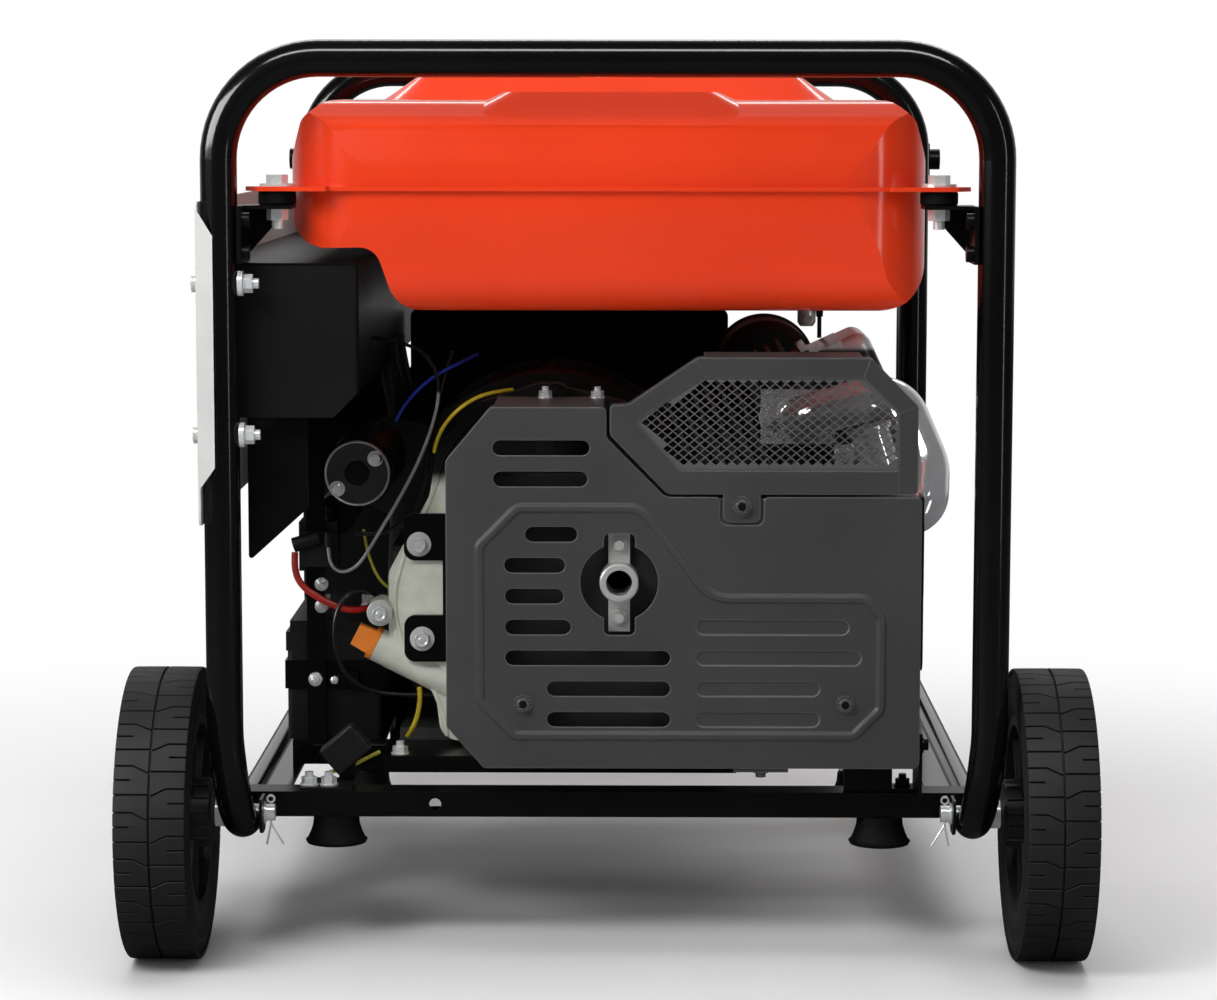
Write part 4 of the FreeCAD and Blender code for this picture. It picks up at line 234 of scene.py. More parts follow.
def softRubber(name, colour, roughness=0.62, gloss=0.35):
    r = Recipe(name, colour, roughness, Specular_IOR_Level=gloss)
    bloom = r.noise(24.0, 5.0, 0.62)
    fine = r.noise(1400.0, 3.0, 0.6)
    dusty = times(colour, 1.6, 0.002)
    r.paint(Base_Color=r.mix(r.rise(bloom, 0.42, 0.80) * 0.7, colour, dusty))
    r.paint(Roughness=roughness + 0.14 * (bloom - 0.5))
    r.relief(fine * 0.00003)
    return r.material


def castAlloy(name, colour, metal=0.2, paintedShadeFrom=None):  # painted shade: black above the given height, for the tank's shadow over the cover's top
    r = Recipe(name, colour, 0.42, metal)
    sand = r.noise(700.0, 4.0, 0.62)
    cloud = r.noise(20.0, 4.0, 0.6)
    pores = r.rise(r.spots(340.0), 0.0, 0.16)
    darker = (colour[0] * 0.72, colour[1] * 0.73, colour[2] * 0.70)
    tone = r.mix(r.rise(cloud, 0.30, 0.70), darker, colour)
    tone = r.mix(0.45 * (1.0 - pores), tone, times(colour, 0.5))
    # painted shade: the casting turns black above the height
    if paintedShadeFrom:
        tone = r.mix(r.rise(r.axes()[2], paintedShadeFrom, paintedShadeFrom + 0.012), tone, shade["castingShadeBlack"])
    r.paint(Base_Color=tone)
    r.paint(Roughness=0.36 + 0.22 * sand)
    r.relief(sand * 0.00008 + pores * 0.00003, 0.0006)
    return r.material


def plated(name, colour, roughness=0.24, streak=0.10, metal=0.55, below=None):  # below: height, and the darker colour painted under it as shade
    r = Recipe(name, colour, roughness, metal)
    brush = r.noise(160.0, 4.0, 0.6, r.stretched((1, 1, 7)))
    haze = r.noise(90.0, 3.0)
    bluish = (colour[0] * 0.90, colour[1] * 0.94, colour[2] * 0.99)
    tone = r.mix(r.rise(haze, 0.35, 0.7), colour, bluish)
    # painted shade: the darker colour below the height
    if below:
        tone = r.mix(r.rise(r.axes()[2], below[0], below[0] + 0.004), below[1], tone)
    r.paint(Base_Color=tone)
    r.paint(Roughness=roughness + streak * (brush - 0.4))
    r.relief(brush * 0.000012, 0.0004)
    return r.material


def insulation(name, colour, roughness=0.32, paintedShadeFrom=None):  # painted shade: black above the given height, for the shadow of the box and tank over the lead's upper part
    r = Recipe(name, colour, roughness, Specular_IOR_Level=0.5)
    cloud = r.noise(60.0, 3.0)
    darker = times(colour, 0.80)
    tone = r.mix(r.rise(cloud, 0.35, 0.7), darker, colour)
    # painted shade: the lead turns black above the height
    if paintedShadeFrom:
        tone = r.mix(r.rise(r.axes()[2], paintedShadeFrom, paintedShadeFrom + 0.004), tone, shade["wireShadeBlack"])
    r.paint(Base_Color=tone)
    r.paint(Roughness=roughness + 0.12 * (cloud - 0.5))
    r.relief(r.noise(500.0, 2.0) * 0.00001)
    return r.material


turnsAt = {  # where painted shade starts on a finish: heights, and x and z for the control box
    "coverShade": 0.322, "screwShade": 0.375, "valveShade": 0.418, "wireShade": 0.389,
    "box": ((-0.1735, -0.1715), (0.4870, 0.4885)),
}
framePaint = glossPaint("glossBlackFramePaint", shade["framePaint"], 0.000008, 0.12, 0.5)
bracketPaint = glossPaint("bracketBlackPaint", shade["bracketPaint"], 0.00002, 0.28, 0.16)
tankPaint = glossPaint("tankRedPaint", shade["tankRed"], 0.000006, 0.13, 0.5)
# shield and control box: the edge arguments 2.9 and 3.0 paint highlights along the edges
shieldPaint = powderPaint("heatShieldGrey", shade["shieldGrey"], 0.34, 0.00003, 0.0018, 0.5, 2.9)
meshPaint = powderPaint("meshGrey", shade["meshGrey"], 0.38)
# control box: painted shade on its side wall and roof, beyond the x and z under box in turnsAt
boxPaint = powderPaint("controlBoxBlack", shade["boxBlack"], 0.36, 0.00003, 0.0010, 0.12, 3.0,
                       turnsAt["box"])
shroudPaint = powderPaint("shroudBlack", shade["shroudBlack"], 0.6, 0.00003, 0.0, 0.1)
fasciaPaint = powderPaint("fasciaPaleGrey", shade["fasciaGrey"], 0.38, 0.00002)
wheelRubber = softRubber("tyreRubber", shade["tyreBlack"])
mountRubber = softRubber("mountRubber", shade["mountBlack"], 0.7, 0.1)
gripRubber = softRubber("gripRubber", shade["gripBlack"], 0.5)
rimPlastic = mouldedPlastic("rimPlastic", shade["rimBlack"], 0.42)
blackPlastic = mouldedPlastic("blackPlastic", shade["plasticBlack"], 0.40)
filterPlastic = mouldedPlastic("filterPlastic", shade["filterBlack"], 0.62)
batteryPlastic = mouldedPlastic("batteryCasePlastic", shade["batteryBlack"], 0.36, 0.00004)
bluePlastic = mouldedPlastic("lidBluePlastic", shade["lidBlue"], 0.30)
orangePlastic = mouldedPlastic("orangePlastic", shade["orange"], 0.34)
alloyCasting = castAlloy("castAlloy", shade["alloy"])
# crankcase cover: painted shade, black above a height
coverCasting = castAlloy("coverCasting", shade["alloy"], 0.1, turnsAt["coverShade"])
darkCasting = castAlloy("darkCasting", shade["darkAlloy"])
zincPlate = plated("zincPlate", shade["zinc"], 0.20, 0.10, 0.45)
# shield screws: painted shade, darker below a height
zincShadedBelow = plated("zincPlateShadedBelow", shade["dullZinc"], 0.26, 0.10, 0.55,
                  (turnsAt["screwShade"], shade["shadedZinc"]))
chromePlate = plated("chromePlate", shade["chrome"], 0.10, 0.05, 0.65)
# valve cover: painted shade, darker below a height
valvePlate = plated("valvePlate", shade["valveChrome"], 0.22, 0.10, 0.35,
                    (turnsAt["valveShade"], shade["shadedChrome"]))
rotorIron = castAlloy("rotorIron", shade["iron"])
mufflerSteel = powderPaint("mufflerBlack", shade["mufflerSteel"], 0.5, 0.00003, 0.0, 0.2)
pipeSteel = plated("pipeSteel", shade["pipeSteel"], 0.34, 0.16)
starterPaint = glossPaint("starterBlack", shade["starterBlack"], 0.00001, 0.34, 0.2)
starterEndPaint = glossPaint("starterEndBlack", shade["starterEnd"], 0.00001, 0.16, 0.7)
redWire = insulation("redInsulation", shade["wireRed"])
# grey lead: painted shade, black above a height
whiteWire = insulation("greyInsulation", shade["wireWhite"], 0.28, turnsAt["wireShade"])
yellowWire = insulation("yellowInsulation", shade["wireYellow"])
blueWire = insulation("blueInsulation", shade["wireBlue"])
earthWire = insulation("earthInsulation", shade["wireEarth"])
blackWire = insulation("blackInsulation", shade["wireBlack"])

finishOf = {
    "front_hoop": framePaint, "rear_hoop": framePaint, "base_rails": framePaint,
    "cross_members": bracketPaint, "frame_brackets": bracketPaint, "rear_legs": framePaint,
    "engine_tray": bracketPaint, "battery_tray": bracketPaint, "handle_bar": framePaint,
    "rubber_mounts": mountRubber, "rubber_feet": mountRubber, "handle_grip": gripRubber,
    "axles": zincPlate, "bright_bolts": zincPlate, "shield_screws": zincShadedBelow,
    "tyre_left": wheelRubber, "tyre_right": wheelRubber,
    "rim_left": rimPlastic, "rim_right": rimPlastic,
    "socket_lid_1": bluePlastic, "socket_lid_2": bluePlastic, "socket_lid_3": bluePlastic,
    "fuel_tank_top": tankPaint, "fuel_tank_bottom": tankPaint, "fuel_cap": chromePlate,
    "fuel_tap": zincPlate, "fuel_tap_lever": blackPlastic,
    "control_box": boxPaint, "control_fascia": fasciaPaint, "panel_fittings": blackPlastic,
    "breaker_toggle": blackPlastic, "start_switch": blackPlastic,
    "crankcase_cover": coverCasting, "crankcase": darkCasting, "cylinder": darkCasting,
    "cylinder_head": darkCasting, "alternator_housing": darkCasting, "carburettor": alloyCasting,
    "valve_cover": valvePlate, "dipstick": orangePlastic, "starter_motor": starterPaint,
    "stator": mufflerSteel, "rotor": rotorIron, "recoil_cover": shroudPaint,
    "recoil_grip": gripRubber, "air_cleaner": filterPlastic, "choke_lever": blackPlastic,
    "muffler": mufflerSteel, "outlet_pipe": pipeSteel, "exhaust_pipe": chromePlate,
    "exhaust_brackets": bracketPaint, "heat_shield": shieldPaint, "mesh_frame": shieldPaint,
    "mesh_screen": meshPaint, "battery": batteryPlastic, "electrical_modules": blackPlastic,
    "red_battery_lead": redWire, "white_lead": whiteWire, "yellow_lead": yellowWire,
    "sensor_lead": blackWire,
}
for name, finish in finishOf.items():
    for index in range(len(nodes[name].material_slots)):
        nodes[name].material_slots[index].material = finish
print("stage: finishes on", len(finishOf), "nodes")


pieceMesh = {"merge": 0.00002, "sharp": math.radians(32), "axisGap": 0.00001}


def settle(mesh, name, finish, body):  # bmesh to a smooth piece on a body
    bmesh.ops.remove_doubles(mesh, verts=mesh.verts, dist=pieceMesh["merge"])
    bmesh.ops.recalc_face_normals(mesh, faces=mesh.faces)
    data = bpy.data.meshes.new(name)
    mesh.to_mesh(data)
    mesh.free()
    for face in data.polygons:
        face.use_smooth = True
    data.set_sharp_from_angle(angle=pieceMesh["sharp"])
    data.materials.append(finish)
    piece = bpy.data.objects.new(name, data)
    bpy.context.scene.collection.objects.link(piece)
    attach(piece, body)
    return piece


def turned(mesh, points, centre, axis, steps=48):  # full spin of (along the axis, radius) points
    axis = Vector(axis)
    side = axis.orthogonal().normalized()
    gap = pieceMesh["axisGap"]
    verts = [mesh.verts.new(Vector(centre) + axis * a + side * max(r, gap)) for a, r in points]
    edges = [mesh.edges.new(pair) for pair in zip(verts, verts[1:])]
    bmesh.ops.spin(mesh, geom=verts + edges, cent=centre, axis=axis, angle=math.tau, steps=steps,
                   use_merge=True)


tread = {"pitches": 20, "height": 0.0028, "shoulder": 0.021, "round": 0.0009, "edge": 0.00035,
         "cutAcross": (0.006, 0.012, 0.018, 0.024, 0.028), "cutAlong": 0.0225, "wallSteps": 80,
         "narrowLug": ((0.0007, 0.0005), (0.0243, 0.0005), (0.0243, 0.0115), (0.0115, 0.0115),
                       (0.0020, 0.0162), (0.0007, 0.0162)),
         "wideLug": ((0.0007, 0.0172), (0.0020, 0.0172), (0.0115, 0.0125), (0.0243, 0.0125),
                     (0.0243, 0.0215), (0.0130, 0.0215), (0.0130, 0.0225), (0.0243, 0.0225),
                     (0.0243, 0.0317), (0.0007, 0.0317)),
         "wall": ((0.0020, -0.0330), (0.0003, -0.0280), (0.0000, -0.0150), (0.0006, -0.0135),
                  (0.0000, -0.0120), (0.0002, -0.0085), (0.0012, -0.0045), (0.0040, -0.0022))}


def wholeOf(mesh):
    return mesh.verts[:] + mesh.edges[:] + mesh.faces[:]


def bisect(mesh, place, normal):
    bmesh.ops.bisect_plane(mesh, geom=wholeOf(mesh), plane_co=place, plane_no=normal)


def treadPitch(mesh, half):  # two lugs each side of the middle groove, drawn flat: x across, y along, z up
    for side in (-1, 1):
        shift = 0.0 if side < 0 else half
        for lug in ("narrowLug", "wideLug"):
            corners = [mesh.verts.new((side * u, v + shift, 0.0)) for u, v in tread[lug]]
            face = mesh.faces.new(corners if side > 0 else corners[::-1])
            grown = bmesh.ops.extrude_face_region(mesh, geom=[face])["geom"]
            top = [v for v in grown if isinstance(v, bmesh.types.BMVert)]
            bmesh.ops.translate(mesh, verts=top, vec=(0, 0, tread["height"]))
            rims = [e for e in mesh.edges if e.verts[0] in top and e.verts[1] in top]
            bmesh.ops.bevel(mesh, geom=rims, offset=tread["edge"], segments=1, profile=0.5,
                            affect="EDGES", material=-1)
        for along in tread["cutAcross"]:
            bisect(mesh, (0, along + shift, 0), (0, 1, 0))
    for side in (-1, 1):
        bisect(mesh, (side * tread["cutAlong"], 0, 0), (1, 0, 0))


def makeTyre(side):
    node = "tyre_" + side
    low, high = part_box(node)
    middle = (low + high) / 2
    radius, width = (high.z - low.z) / 2, high.x - low.x
    pitch = math.tau / tread["pitches"]
    mesh = bmesh.new()
    treadPitch(mesh, radius * pitch / 2)
    flat = wholeOf(mesh)
    pitches = [flat] + [bmesh.ops.duplicate(mesh, geom=flat)["geom"] for _ in range(1, tread["pitches"])]
    for turn, parts in enumerate(pitches):
        for vert in [part for part in parts if isinstance(part, bmesh.types.BMVert)]:
            rise = vert.co.z - tread["height"]
            past = max(0.0, abs(vert.co.x) - tread["shoulder"]) / (width / 2 - tread["shoulder"])
            angle = turn * pitch + vert.co.y / radius
            reach = radius + rise - tread["round"] * past * past
            vert.co = middle + Vector((vert.co.x, reach * math.cos(angle), reach * math.sin(angle)))
    wall = [(x - width / 2, radius + drop) for x, drop in tread["wall"]]
    outline = wall + [(-x, r) for x, r in reversed(wall)] + wall[:1]
    turned(mesh, outline, middle, (1, 0, 0), tread["wallSteps"])
    piece = settle(mesh, "treadedTyre_" + side, wheelRubber, "wheel_" + side)
    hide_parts(node)


hubBarrel = {"radius": 0.0225, "length": 0.017, "clear": 0.0006, "neck": 0.008, "chamfer": 0.002,
             "flare": 0.001, "steps": 56, "ribs": 14, "ribHeight": 0.0022, "ribWidth": 0.0022,
             "ribShort": 0.003, "ribRound": 0.0005, "ribSet": 0.001}


def makeHubBarrel(side):  # ribbed barrel between the wheel and the hoop
    low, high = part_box("rim_" + side)
    middle = (low + high) / 2
    inward = 1.0 if side == "left" else -1.0
    start = (high.x if side == "left" else low.x) - inward * hubBarrel["clear"]
    r, run, chamfer = hubBarrel["radius"], hubBarrel["length"], hubBarrel["chamfer"]
    outline = ((0.0, hubBarrel["neck"]), (0.0, r - chamfer), (-inward * chamfer, r),
               (-inward * run, r + hubBarrel["flare"]))
    ribSize = (run - hubBarrel["ribShort"], hubBarrel["ribWidth"], hubBarrel["ribHeight"] * 2)
    ribPlace = (start - inward * (run / 2 + hubBarrel["ribSet"]), 0, r)
    mesh = bmesh.new()
    turned(mesh, outline, (start, middle.y, middle.z), (1, 0, 0), hubBarrel["steps"])
    for index in range(hubBarrel["ribs"]):
        made = bmesh.ops.create_cube(mesh, size=1.0)["verts"]
        bmesh.ops.scale(mesh, verts=made, vec=ribSize)
        edges = list({e for v in made for e in v.link_edges})
        bent = bmesh.ops.bevel(mesh, geom=edges, offset=hubBarrel["ribRound"], segments=2, profile=0.5,
                               affect="EDGES", material=-1)
        verts = list({v for f in bent["faces"] for v in f.verts})
        bmesh.ops.translate(mesh, verts=verts, vec=ribPlace)
        turn = Matrix.Rotation(math.tau * index / hubBarrel["ribs"], 3, "X")
        bmesh.ops.rotate(mesh, verts=verts, cent=(0, 0, 0), matrix=turn)
        bmesh.ops.translate(mesh, verts=verts, vec=(0, middle.y, middle.z))
    piece = settle(mesh, "ribbedHub_" + side, rimPlastic, "wheel_" + side)


for side in ("left", "right"):
    makeTyre(side)
    makeHubBarrel(side)
print("stage: tyres and hubs")


starterEnd = {  # outlines as (along the motor, radius)
    "fromEdge": 0.0258, "sunk": 0.003, "steps": 56, "screwSteps": 24, "screwProud": 0.0006,
    "face": ((0.0, 0.0), (-0.0007, 0.0020), (-0.0008, 0.0052), (-0.00072, 0.0062), (-0.0018, 0.0074),
             (-0.0018, 0.0082), (-0.0006, 0.0094), (-0.00036, 0.0176), (-0.0006, 0.0221)),
    "rim": ((0.0005, 0.0219), (-0.0010, 0.0225), (-0.0013, 0.02305), (-0.0008, 0.0236), (0.0008, 0.0240)),
    "screw": ((0.0006, 0.0058), (-0.0002, 0.0057), (-0.0004, 0.0042), (-0.0022, 0.0040), (-0.0029, 0.0030),
              (-0.0031, 0.0016), (-0.0026, 0.0)),
    "screws": ((0.0132, 0.0108), (-0.0146, -0.0112)),
}


def turnedPiece(name, points, centre, steps, finish):  # turned about y, on the frame
    mesh = bmesh.new()
    turned(mesh, points, centre, (0, 1, 0), steps)
    settle(mesh, name, finish, "frame")


def makeStarterEnd():
    low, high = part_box("starter_motor")
    inset = starterEnd["fromEdge"]
    centre = Vector((high.x - inset, low.y + starterEnd["sunk"], high.z - inset))
    turnedPiece("starterEndFace", starterEnd["face"], centre, starterEnd["steps"], starterEndPaint)
    turnedPiece("starterEndRim", starterEnd["rim"], centre, starterEnd["steps"], pipeSteel)
    for number, (dx, dz) in enumerate(starterEnd["screws"], 1):
        at = centre + Vector((dx, -starterEnd["screwProud"], dz))
        turnedPiece("starterScrew_%d" % number, starterEnd["screw"], at, starterEnd["screwSteps"], zincPlate)


makeStarterEnd()
print("stage: starter's end")


boltHeads = {  # outlines as (along the bolt, share of the radius); sizes in metres
    "round": 0.0015, "steps": 28, "socketSteps": 6, "dishSize": 0.72,
    "dish": ((0.0002, 0.86), (-0.0005, 0.80), (-0.0005, 0.64), (-0.0001, 0.56), (-0.0001, 0.34),
             (-0.0005, 0.26), (-0.0005, 0.0)),
    "socketRim": ((0.0003, 0.6944), (-0.00036, 0.651), (-0.0006, 0.5828), (-0.0006, 0.368), (0.0003, 0.368)),
    "socket": ((-0.0003, 0.4692), (-0.0007, 0.46), (-0.0007, 0.0)),
    "shadeCapsFrom": 0.35, "capOver": 0.0008, "capTop": -0.0016,  # dishes are below this height; painted-shade caps go on the bolts above it
    "cap": ((0.0074, 0.0), (0.0010, 0.0), (-0.0006, 0.0006), (-0.0014, 0.0024)),  # along, inside the radius
}


def looseParts(node):  # low and high corner of each solid of a CAD node
    mesh = bmesh.new()
    mesh.from_mesh(nodes[node].data)
    bmesh.ops.remove_doubles(mesh, verts=mesh.verts, dist=0.000001)
    left = set(mesh.verts)
    corners = []
    for first in mesh.verts:
        if first not in left:
            continue
        left.discard(first)
        found, edge = [first.co.copy()], [first]
        while edge:
            for link in edge.pop().link_edges:
                for vert in link.verts:
                    if vert in left:
                        left.discard(vert)
                        found.append(vert.co.copy())
                        edge.append(vert)
        corners.append([Vector([pick(co[i] for co in found) for i in range(3)]) for pick in (min, max)])
    mesh.free()
    return corners


def frontHeads(node):  # face's centre and radius of each round head that faces the front
    for low, high in looseParts(node):
        size = high - low
        if abs(size.x - size.z) < boltHeads["round"] and size.y < size.x and high.y < 0:
            face = (low + high) / 2
            face.y = low.y
            yield face, size.x / 2


def shared(outline, radius):
    return [(along, radius * share) for along, share in outline]


def makeHeadDishes():  # pressed rings in the front bolts' heads
    mesh = bmesh.new()
    for face, r in frontHeads("bright_bolts"):
        if face.z < boltHeads["shadeCapsFrom"]:
            outline = shared(boltHeads["dish"], r * boltHeads["dishSize"])
            turned(mesh, outline, face, (0, 1, 0), boltHeads["steps"])
    settle(mesh, "boltHeadRings", zincPlate, "frame")


def makeSocketHeads():  # bright rims, and black hexagon discs painted as the shade in their sockets, on the shield's front screws
    rims, shadeDiscs = bmesh.new(), bmesh.new()
    for face, r in frontHeads("shield_screws"):
        turned(rims, shared(boltHeads["socketRim"], r), face, (0, 1, 0), boltHeads["steps"])
        turned(shadeDiscs, shared(boltHeads["socket"], r), face, (0, 1, 0), boltHeads["socketSteps"])
    settle(rims, "socketRims", zincShadedBelow, "frame")
    # painted shade: the socket discs are black
    settle(shadeDiscs, "socketShadeDiscs", shroudPaint, "frame")


def makeShadeCaps():  # black caps on the bolts behind the shield's top: painted shade over bolts that sit in shadow
    for face, r in frontHeads("bright_bolts"):
        if face.z > boltHeads["shadeCapsFrom"]:
            outline = [(along, r + boltHeads["capOver"] - inside) for along, inside in boltHeads["cap"]]
            name = "boltShadeCap_%d" % round(abs(face.x) * 1000)
            turnedPiece(name, outline + [(boltHeads["capTop"], 0.0)], face, boltHeads["steps"], shroudPaint)


makeHeadDishes()
makeSocketHeads()
makeShadeCaps()
print("stage: bolt heads")


terminals = (  # name, place, radius, height
    ("relayTerminal_1", (-0.2100, -0.1915, 0.2497), 0.0033, 0.005),
    ("relayTerminal_2", (-0.2101, -0.1915, 0.2335), 0.0033, 0.005),
    ("holderBolt", (-0.2131, -0.2130, 0.1829), 0.0033, 0.008),
    ("holderPin", (-0.1993, -0.2130, 0.1822), 0.0019, 0.004),
)
terminalShape = {  # nut in metres and shares of the radius, stud and tip in shares of both
    "nut": ((0.004, 1.5), (0.0, 1.5), (-0.0004, 1.42), (-0.0008, 1.0)),
    "stud": ((-0.55, 1.0), (-0.60, 0.60), (-1.0, 0.56)),
    "tipLength": 0.0004, "tip": 0.45, "steps": 24,
}
for name, place, radius, height in terminals:
    stud = [(height * part, radius * share) for part, share in terminalShape["stud"]]
    end = -height - terminalShape["tipLength"]
    tip = [(end, radius * terminalShape["tip"]), (end, 0.0)]
    outline = shared(terminalShape["nut"], radius) + stud + tip
    turnedPiece(name, outline, place, terminalShape["steps"], zincPlate)
print("stage: terminals", len(terminals))


meshSeams = (  # ends on the mesh frame, from its left edge and its top
    ((0.0605, 0.0002), (0.0635, -0.0139)), ((0.1795, 0.0002), (0.1745, -0.0139)),
    ((0.2121, -0.0334), (0.1995, -0.0384)), ((0.1995, -0.0384), (0.1995, -0.0940)))
seamLine = {"radius": 0.0004, "taper": 0.0003, "steps": 10}
low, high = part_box("mesh_frame")
for number, ends in enumerate(meshSeams, 1):
    mesh = bmesh.new()
    first, last = [Vector((low.x + x, low.y, high.z + z)) for x, z in ends]
    run = last - first
    r, taper = seamLine["radius"], seamLine["taper"]
    outline = ((0.0, 0.0), (taper, r), (run.length - taper, r), (run.length, 0.0))
    turned(mesh, outline, first, run.normalized(), seamLine["steps"])
    settle(mesh, "meshFrameSeam_%d" % number, shieldPaint, "frame")
print("stage: seams", len(meshSeams))


coverRidge = {"set": 0.0150, "diameter": 0.0034, "points": (  # x and z
    (-0.088, 0.3800), (-0.1180, 0.3545), (-0.1262, 0.3170), (-0.1555, 0.2610), (-0.1555, 0.2140),
    (-0.1225, 0.1710), (-0.1180, 0.1400))}
cadLeads = (  # node, slot, finish, diameter, length, points
    ("red_battery_lead", "red_insulation", redWire, 0.0050, 0.0927, (
        (-0.2290, -0.1923, 0.2733), (-0.2300, -0.1928, 0.2610), (-0.2240, -0.1938, 0.2480),
        (-0.2080, -0.1953, 0.2380), (-0.1930, -0.1943, 0.2315), (-0.1830, -0.1873, 0.2305),
        (-0.1770, -0.1783, 0.2305), (-0.1770, -0.1693, 0.2305))),
    ("white_lead", "white_insulation", whiteWire, 0.0026, 0.2470, (
        (-0.2045, -0.1943, 0.2770), (-0.2040, -0.1973, 0.2660), (-0.1950, -0.2013, 0.2590),
        (-0.1830, -0.2033, 0.2640), (-0.1740, -0.2043, 0.2770), (-0.1640, -0.2048, 0.2940),
        (-0.1530, -0.2053, 0.3120), (-0.1390, -0.2053, 0.3380), (-0.1275, -0.2043, 0.3660),
        (-0.1220, -0.2023, 0.3920), (-0.1270, -0.2023, 0.4140), (-0.1440, -0.2023, 0.4270),
        (-0.1705, -0.2023, 0.4310))),
    ("yellow_lead", "yellow_insulation", yellowWire, 0.0028, 0.0902, (
        (-0.1264, -0.2013, 0.3480), (-0.1240, -0.2133, 0.3590), (-0.1150, -0.2173, 0.3740),
        (-0.1010, -0.2153, 0.3860), (-0.0850, -0.2063, 0.3920), (-0.0700, -0.1943, 0.3928))),
    ("sensor_lead", "black_insulation", blackWire, 0.0032, 0.1654, (
        (-0.1720, -0.1773, 0.2400), (-0.1780, -0.1913, 0.2470), (-0.1890, -0.2023, 0.2450),
        (-0.1980, -0.2083, 0.2330), (-0.2000, -0.2103, 0.2130), (-0.1960, -0.2103, 0.1940),
        (-0.1860, -0.2073, 0.1790), (-0.1700, -0.2023, 0.1715), (-0.1480, -0.1993, 0.1690),
        (-0.1274, -0.1963, 0.1690))),
)
leads = (  # name, finish, diameter, points
    ("engineLoom", blackWire, 0.0240, (
        (-0.1720, -0.020, 0.4200), (-0.1700, -0.018, 0.4020), (-0.1640, -0.015, 0.3780),
        (-0.1600, -0.010, 0.3480), (-0.1600, -0.006, 0.3100), (-0.1620, -0.004, 0.2600),
        (-0.1650, -0.004, 0.2000), (-0.1670, -0.006, 0.1500), (-0.1660, -0.020, 0.1150))),
    ("blueLead", blueWire, 0.0026, (
        (-0.1545, -0.196, 0.3700), (-0.1500, -0.198, 0.3790), (-0.1430, -0.200, 0.3880),
        (-0.1330, -0.201, 0.3980), (-0.1210, -0.199, 0.4060), (-0.1080, -0.192, 0.4120),
        (-0.0960, -0.175, 0.4170))),
    ("blackLead", blackWire, 0.0032, (
        (-0.1850, -0.2000, 0.2885), (-0.1730, -0.2005, 0.2875), (-0.1610, -0.2010, 0.2895),
        (-0.1490, -0.2010, 0.2965), (-0.1400, -0.2005, 0.3080), (-0.1345, -0.2000, 0.3230),
        (-0.1320, -0.1990, 0.3400), (-0.1285, -0.1980, 0.3600), (-0.1240, -0.1970, 0.3820),
        (-0.1200, -0.1930, 0.4020), (-0.1140, -0.1860, 0.4200))),
    ("earthLead", earthWire, 0.0022, (
        (-0.1790, -0.190, 0.2900), (-0.1775, -0.191, 0.2800), (-0.1745, -0.191, 0.2680),
        (-0.1700, -0.190, 0.2570), (-0.1640, -0.187, 0.2480), (-0.1560, -0.182, 0.2430))),
    ("earthTail", earthWire, 0.0028, (
        (-0.2020, -0.2260, 0.1172), (-0.1930, -0.2275, 0.1190), (-0.1830, -0.2270, 0.1235),
        (-0.1740, -0.2250, 0.1280), (-0.1660, -0.2200, 0.1310))),
    ("coilLead", yellowWire, 0.0036, (
        (-0.1380, -0.2040, 0.1760), (-0.1375, -0.2045, 0.1690), (-0.1385, -0.2045, 0.1600),
        (-0.1405, -0.2040, 0.1520), (-0.1440, -0.2030, 0.1440), (-0.1470, -0.2000, 0.1390))),
)


leadCurve = {"order": 3, "across": 4, "along": 10}


def makeLead(name, finish, diameter, points):
    data = bpy.data.curves.new(name, "CURVE")
    data.dimensions = "3D"
    data.bevel_depth = diameter / 2
    data.bevel_resolution = leadCurve["across"]
    data.resolution_u = leadCurve["along"]
    data.use_fill_caps = True
    line = data.splines.new("NURBS")
    line.points.add(len(points) - 1)
    for point, place in zip(line.points, points):
        point.co = (*place, 1.0)
    line.order_u = leadCurve["order"]
    line.use_endpoint_u = True
    data.materials.append(finish)
    piece = bpy.data.objects.new(name, data)
    bpy.context.scene.collection.objects.link(piece)
    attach(piece, "frame")
    return piece


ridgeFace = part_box("crankcase_cover")[0].y + coverRidge["set"]
ridgePoints = [(x, ridgeFace, z) for x, z in coverRidge["points"]]
makeLead("coverRidge", coverCasting, coverRidge["diameter"], ridgePoints)
for lead in leads:
    makeLead(*lead)
for node, slot, finish, diameter, length, points in cadLeads:
    piece = makeLead(node + "_line", finish, diameter, points)
    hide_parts(node)
    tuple(points[0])
print("stage: leads", len(leads) + len(cadLeads))


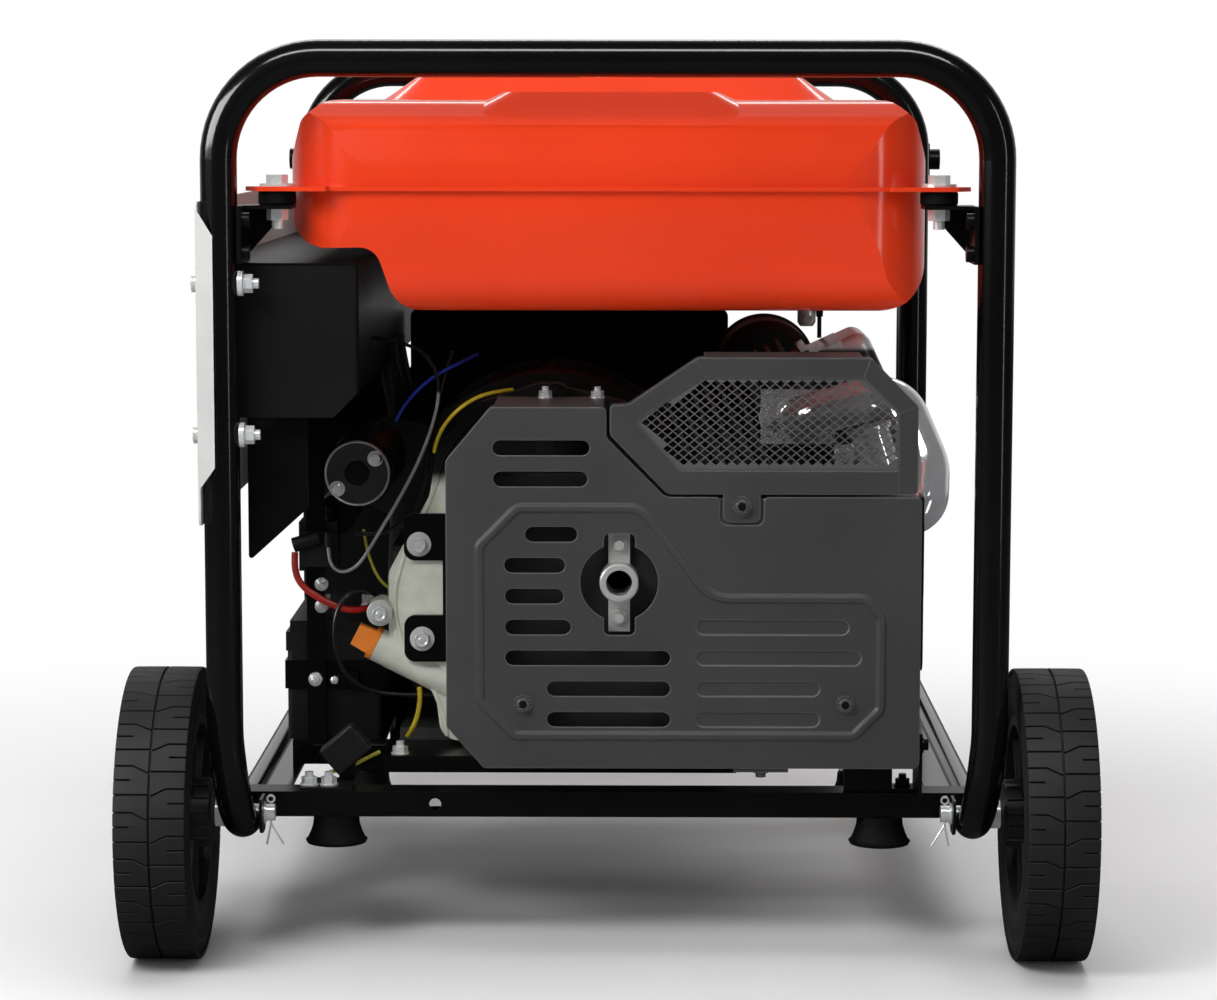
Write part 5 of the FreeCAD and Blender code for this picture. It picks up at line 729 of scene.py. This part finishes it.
studio = {
    "floorSize": 14.0, "floorGrid": 8, "floorRough": 0.82, "floorShade": (0.90, 0.90, 0.90),
    "floorInGloss": (0.09, 0.09, 0.09), "whiteFrom": 0.48, "whiteTo": 1.25, "ambient": 0.30,
    "glossDark": 0.05, "glossBackdrop": 0.62, "backdropFrom": (0.30, 0.80), "horizon": (-0.35, 0.05),
    "lamps": (  # name, place, aimed at, width, height, watts, and True where only gloss shows it
        ("keySheet", (-1.5, -2.3, 2.3), (0, 0, 0.40), 1.4, 1.1, 29, False),
        ("nearKey", (-0.45, -1.00, 0.92), (-0.05, -0.33, 0.40), 0.36, 0.36, 3.6, False),
        ("fillSheet", (1.7, -2.7, 1.0), (0, 0, 0.30), 1.3, 1.3, 8, False),
        ("rearSheet", (0.6, 2.9, 1.9), (0, 0, 0.35), 1.8, 1.2, 34, False),
        ("topSheet", (0, -0.1, 2.5), (0, 0, 0.3), 2.0, 1.8, 30, False),
        ("leftStrip", (-2.3, -1.5, 1.3), (0, 0, 0.55), 2.0, 1.1, 80, True),
        ("rightStrip", (2.1, -1.9, 0.8), (0, 0, 0.35), 0.12, 1.6, 4, True),
        ("brow", (0, -1.7, 2.3), (0, 0, 0.5), 2.6, 0.4, 38, True),
        ("rearBrow", (0, 1.9, 2.2), (0, 0, 0.5), 2.6, 0.3, 16, True),
    ),
}
camera = {"place": (0.0192, -2.6409, 0.5883), "dip": 0.117, "yaw": -0.008, "roll": 0.001,
          "lens": 100.2, "lift": 0.0131, "sensor": 36.0, "far": 60.0}


def rayIs(r, *names):  # 1 for rays of these kinds
    total = 0.0
    for name in names:
        total = r.sum("MAXIMUM", total, r.node("ShaderNodeLightPath", out=name))
    return total


def makeFloor():
    mesh = bmesh.new()
    grid = studio["floorGrid"]
    bmesh.ops.create_grid(mesh, x_segments=grid, y_segments=grid, size=studio["floorSize"] / 2)
    data = bpy.data.meshes.new("studioFloor")
    mesh.to_mesh(data)
    mesh.free()
    floor = bpy.data.objects.new("studioFloor", data)
    bpy.context.scene.collection.objects.link(floor)
    r = Recipe("paleFloor", studio["floorShade"], studio["floorRough"])
    inGloss = rayIs(r, "Is Glossy Ray", "Is Transmission Ray")
    r.paint(Base_Color=r.mix(inGloss, studio["floorShade"], studio["floorInGloss"]))
    r.paint(Roughness=studio["floorRough"] + 0.08 * r.noise(3.0), Specular_IOR_Level=0.1)
    away = r.node("ShaderNodeVectorMath", {"operation": "LENGTH"}, {0: r.place}, "Value")
    white = r.rise(away, studio["whiteFrom"], studio["whiteTo"])
    glow = r.node("ShaderNodeEmission", None, {"Color": (1, 1, 1), "Strength": 1.0})
    inputs = {0: white * rayIs(r, "Is Camera Ray"), 1: Level(r, r.shader.outputs[0]), 2: glow}
    r.feed(r.tree.nodes["Material Output"].inputs["Surface"], r.node("ShaderNodeMixShader", None, inputs))
    data.materials.append(r.material)


def makeWorld():  # white for the eye, a dim backdrop with a dark front for gloss, soft grey for the rest
    world = bpy.data.worlds.new("whiteStudio")
    bpy.context.scene.world = world
    world.use_nodes = True
    r = Graph(world.node_tree)
    x, y, z = r.axes()
    behind = r.rise(y, *studio["backdropFrom"]) * r.rise(z, *studio["horizon"])
    inGloss = rayIs(r, "Is Glossy Ray", "Is Transmission Ray")
    backdrop = studio["glossDark"] + (studio["glossBackdrop"] - studio["glossDark"]) * behind
    level = backdrop * inGloss + studio["ambient"] * (1.0 - inGloss)
    soft = r.node("ShaderNodeBackground", None, {"Color": (1, 1, 1), "Strength": level})
    white = r.node("ShaderNodeBackground", None, {"Color": (1, 1, 1), "Strength": 1.0})
    both = r.node("ShaderNodeMixShader", None, {0: rayIs(r, "Is Camera Ray"), 1: soft, 2: white})
    r.feed(r.tree.nodes["World Output"].inputs["Surface"], both)


def makeLamps():
    for name, place, aim, width, height, watts, inGloss in studio["lamps"]:
        data = bpy.data.lights.new(name, "AREA")
        data.shape = "RECTANGLE"
        data.size = width
        data.size_y = height
        data.energy = watts
        lamp = bpy.data.objects.new(name, data)
        lamp.location = place
        lamp.rotation_euler = (Vector(aim) - Vector(place)).to_track_quat("-Z", "Y").to_euler()
        lamp.visible_glossy = inGloss
        lamp.visible_diffuse = not inGloss
        bpy.context.scene.collection.objects.link(lamp)


def makeCamera():
    data = bpy.data.cameras.new("studioCamera")
    data.lens = camera["lens"]
    data.sensor_width = camera["sensor"]
    data.shift_y = camera["lift"]
    data.clip_end = camera["far"]
    eye = bpy.data.objects.new("studioCamera", data)
    level, dip = camera["yaw"], camera["dip"]
    ahead = Vector((math.sin(level) * math.cos(dip), math.cos(level) * math.cos(dip), -math.sin(dip)))
    turn = ahead.to_track_quat("-Z", "Y").to_matrix() @ Matrix.Rotation(camera["roll"], 3, "Z")
    eye.rotation_euler = turn.to_euler()
    eye.location = camera["place"]
    bpy.context.scene.collection.objects.link(eye)
    bpy.context.scene.camera = eye


makeFloor()
makeWorld()
makeLamps()
makeCamera()
bpy.context.scene.view_settings.view_transform = "Standard"
print("stage: studio")
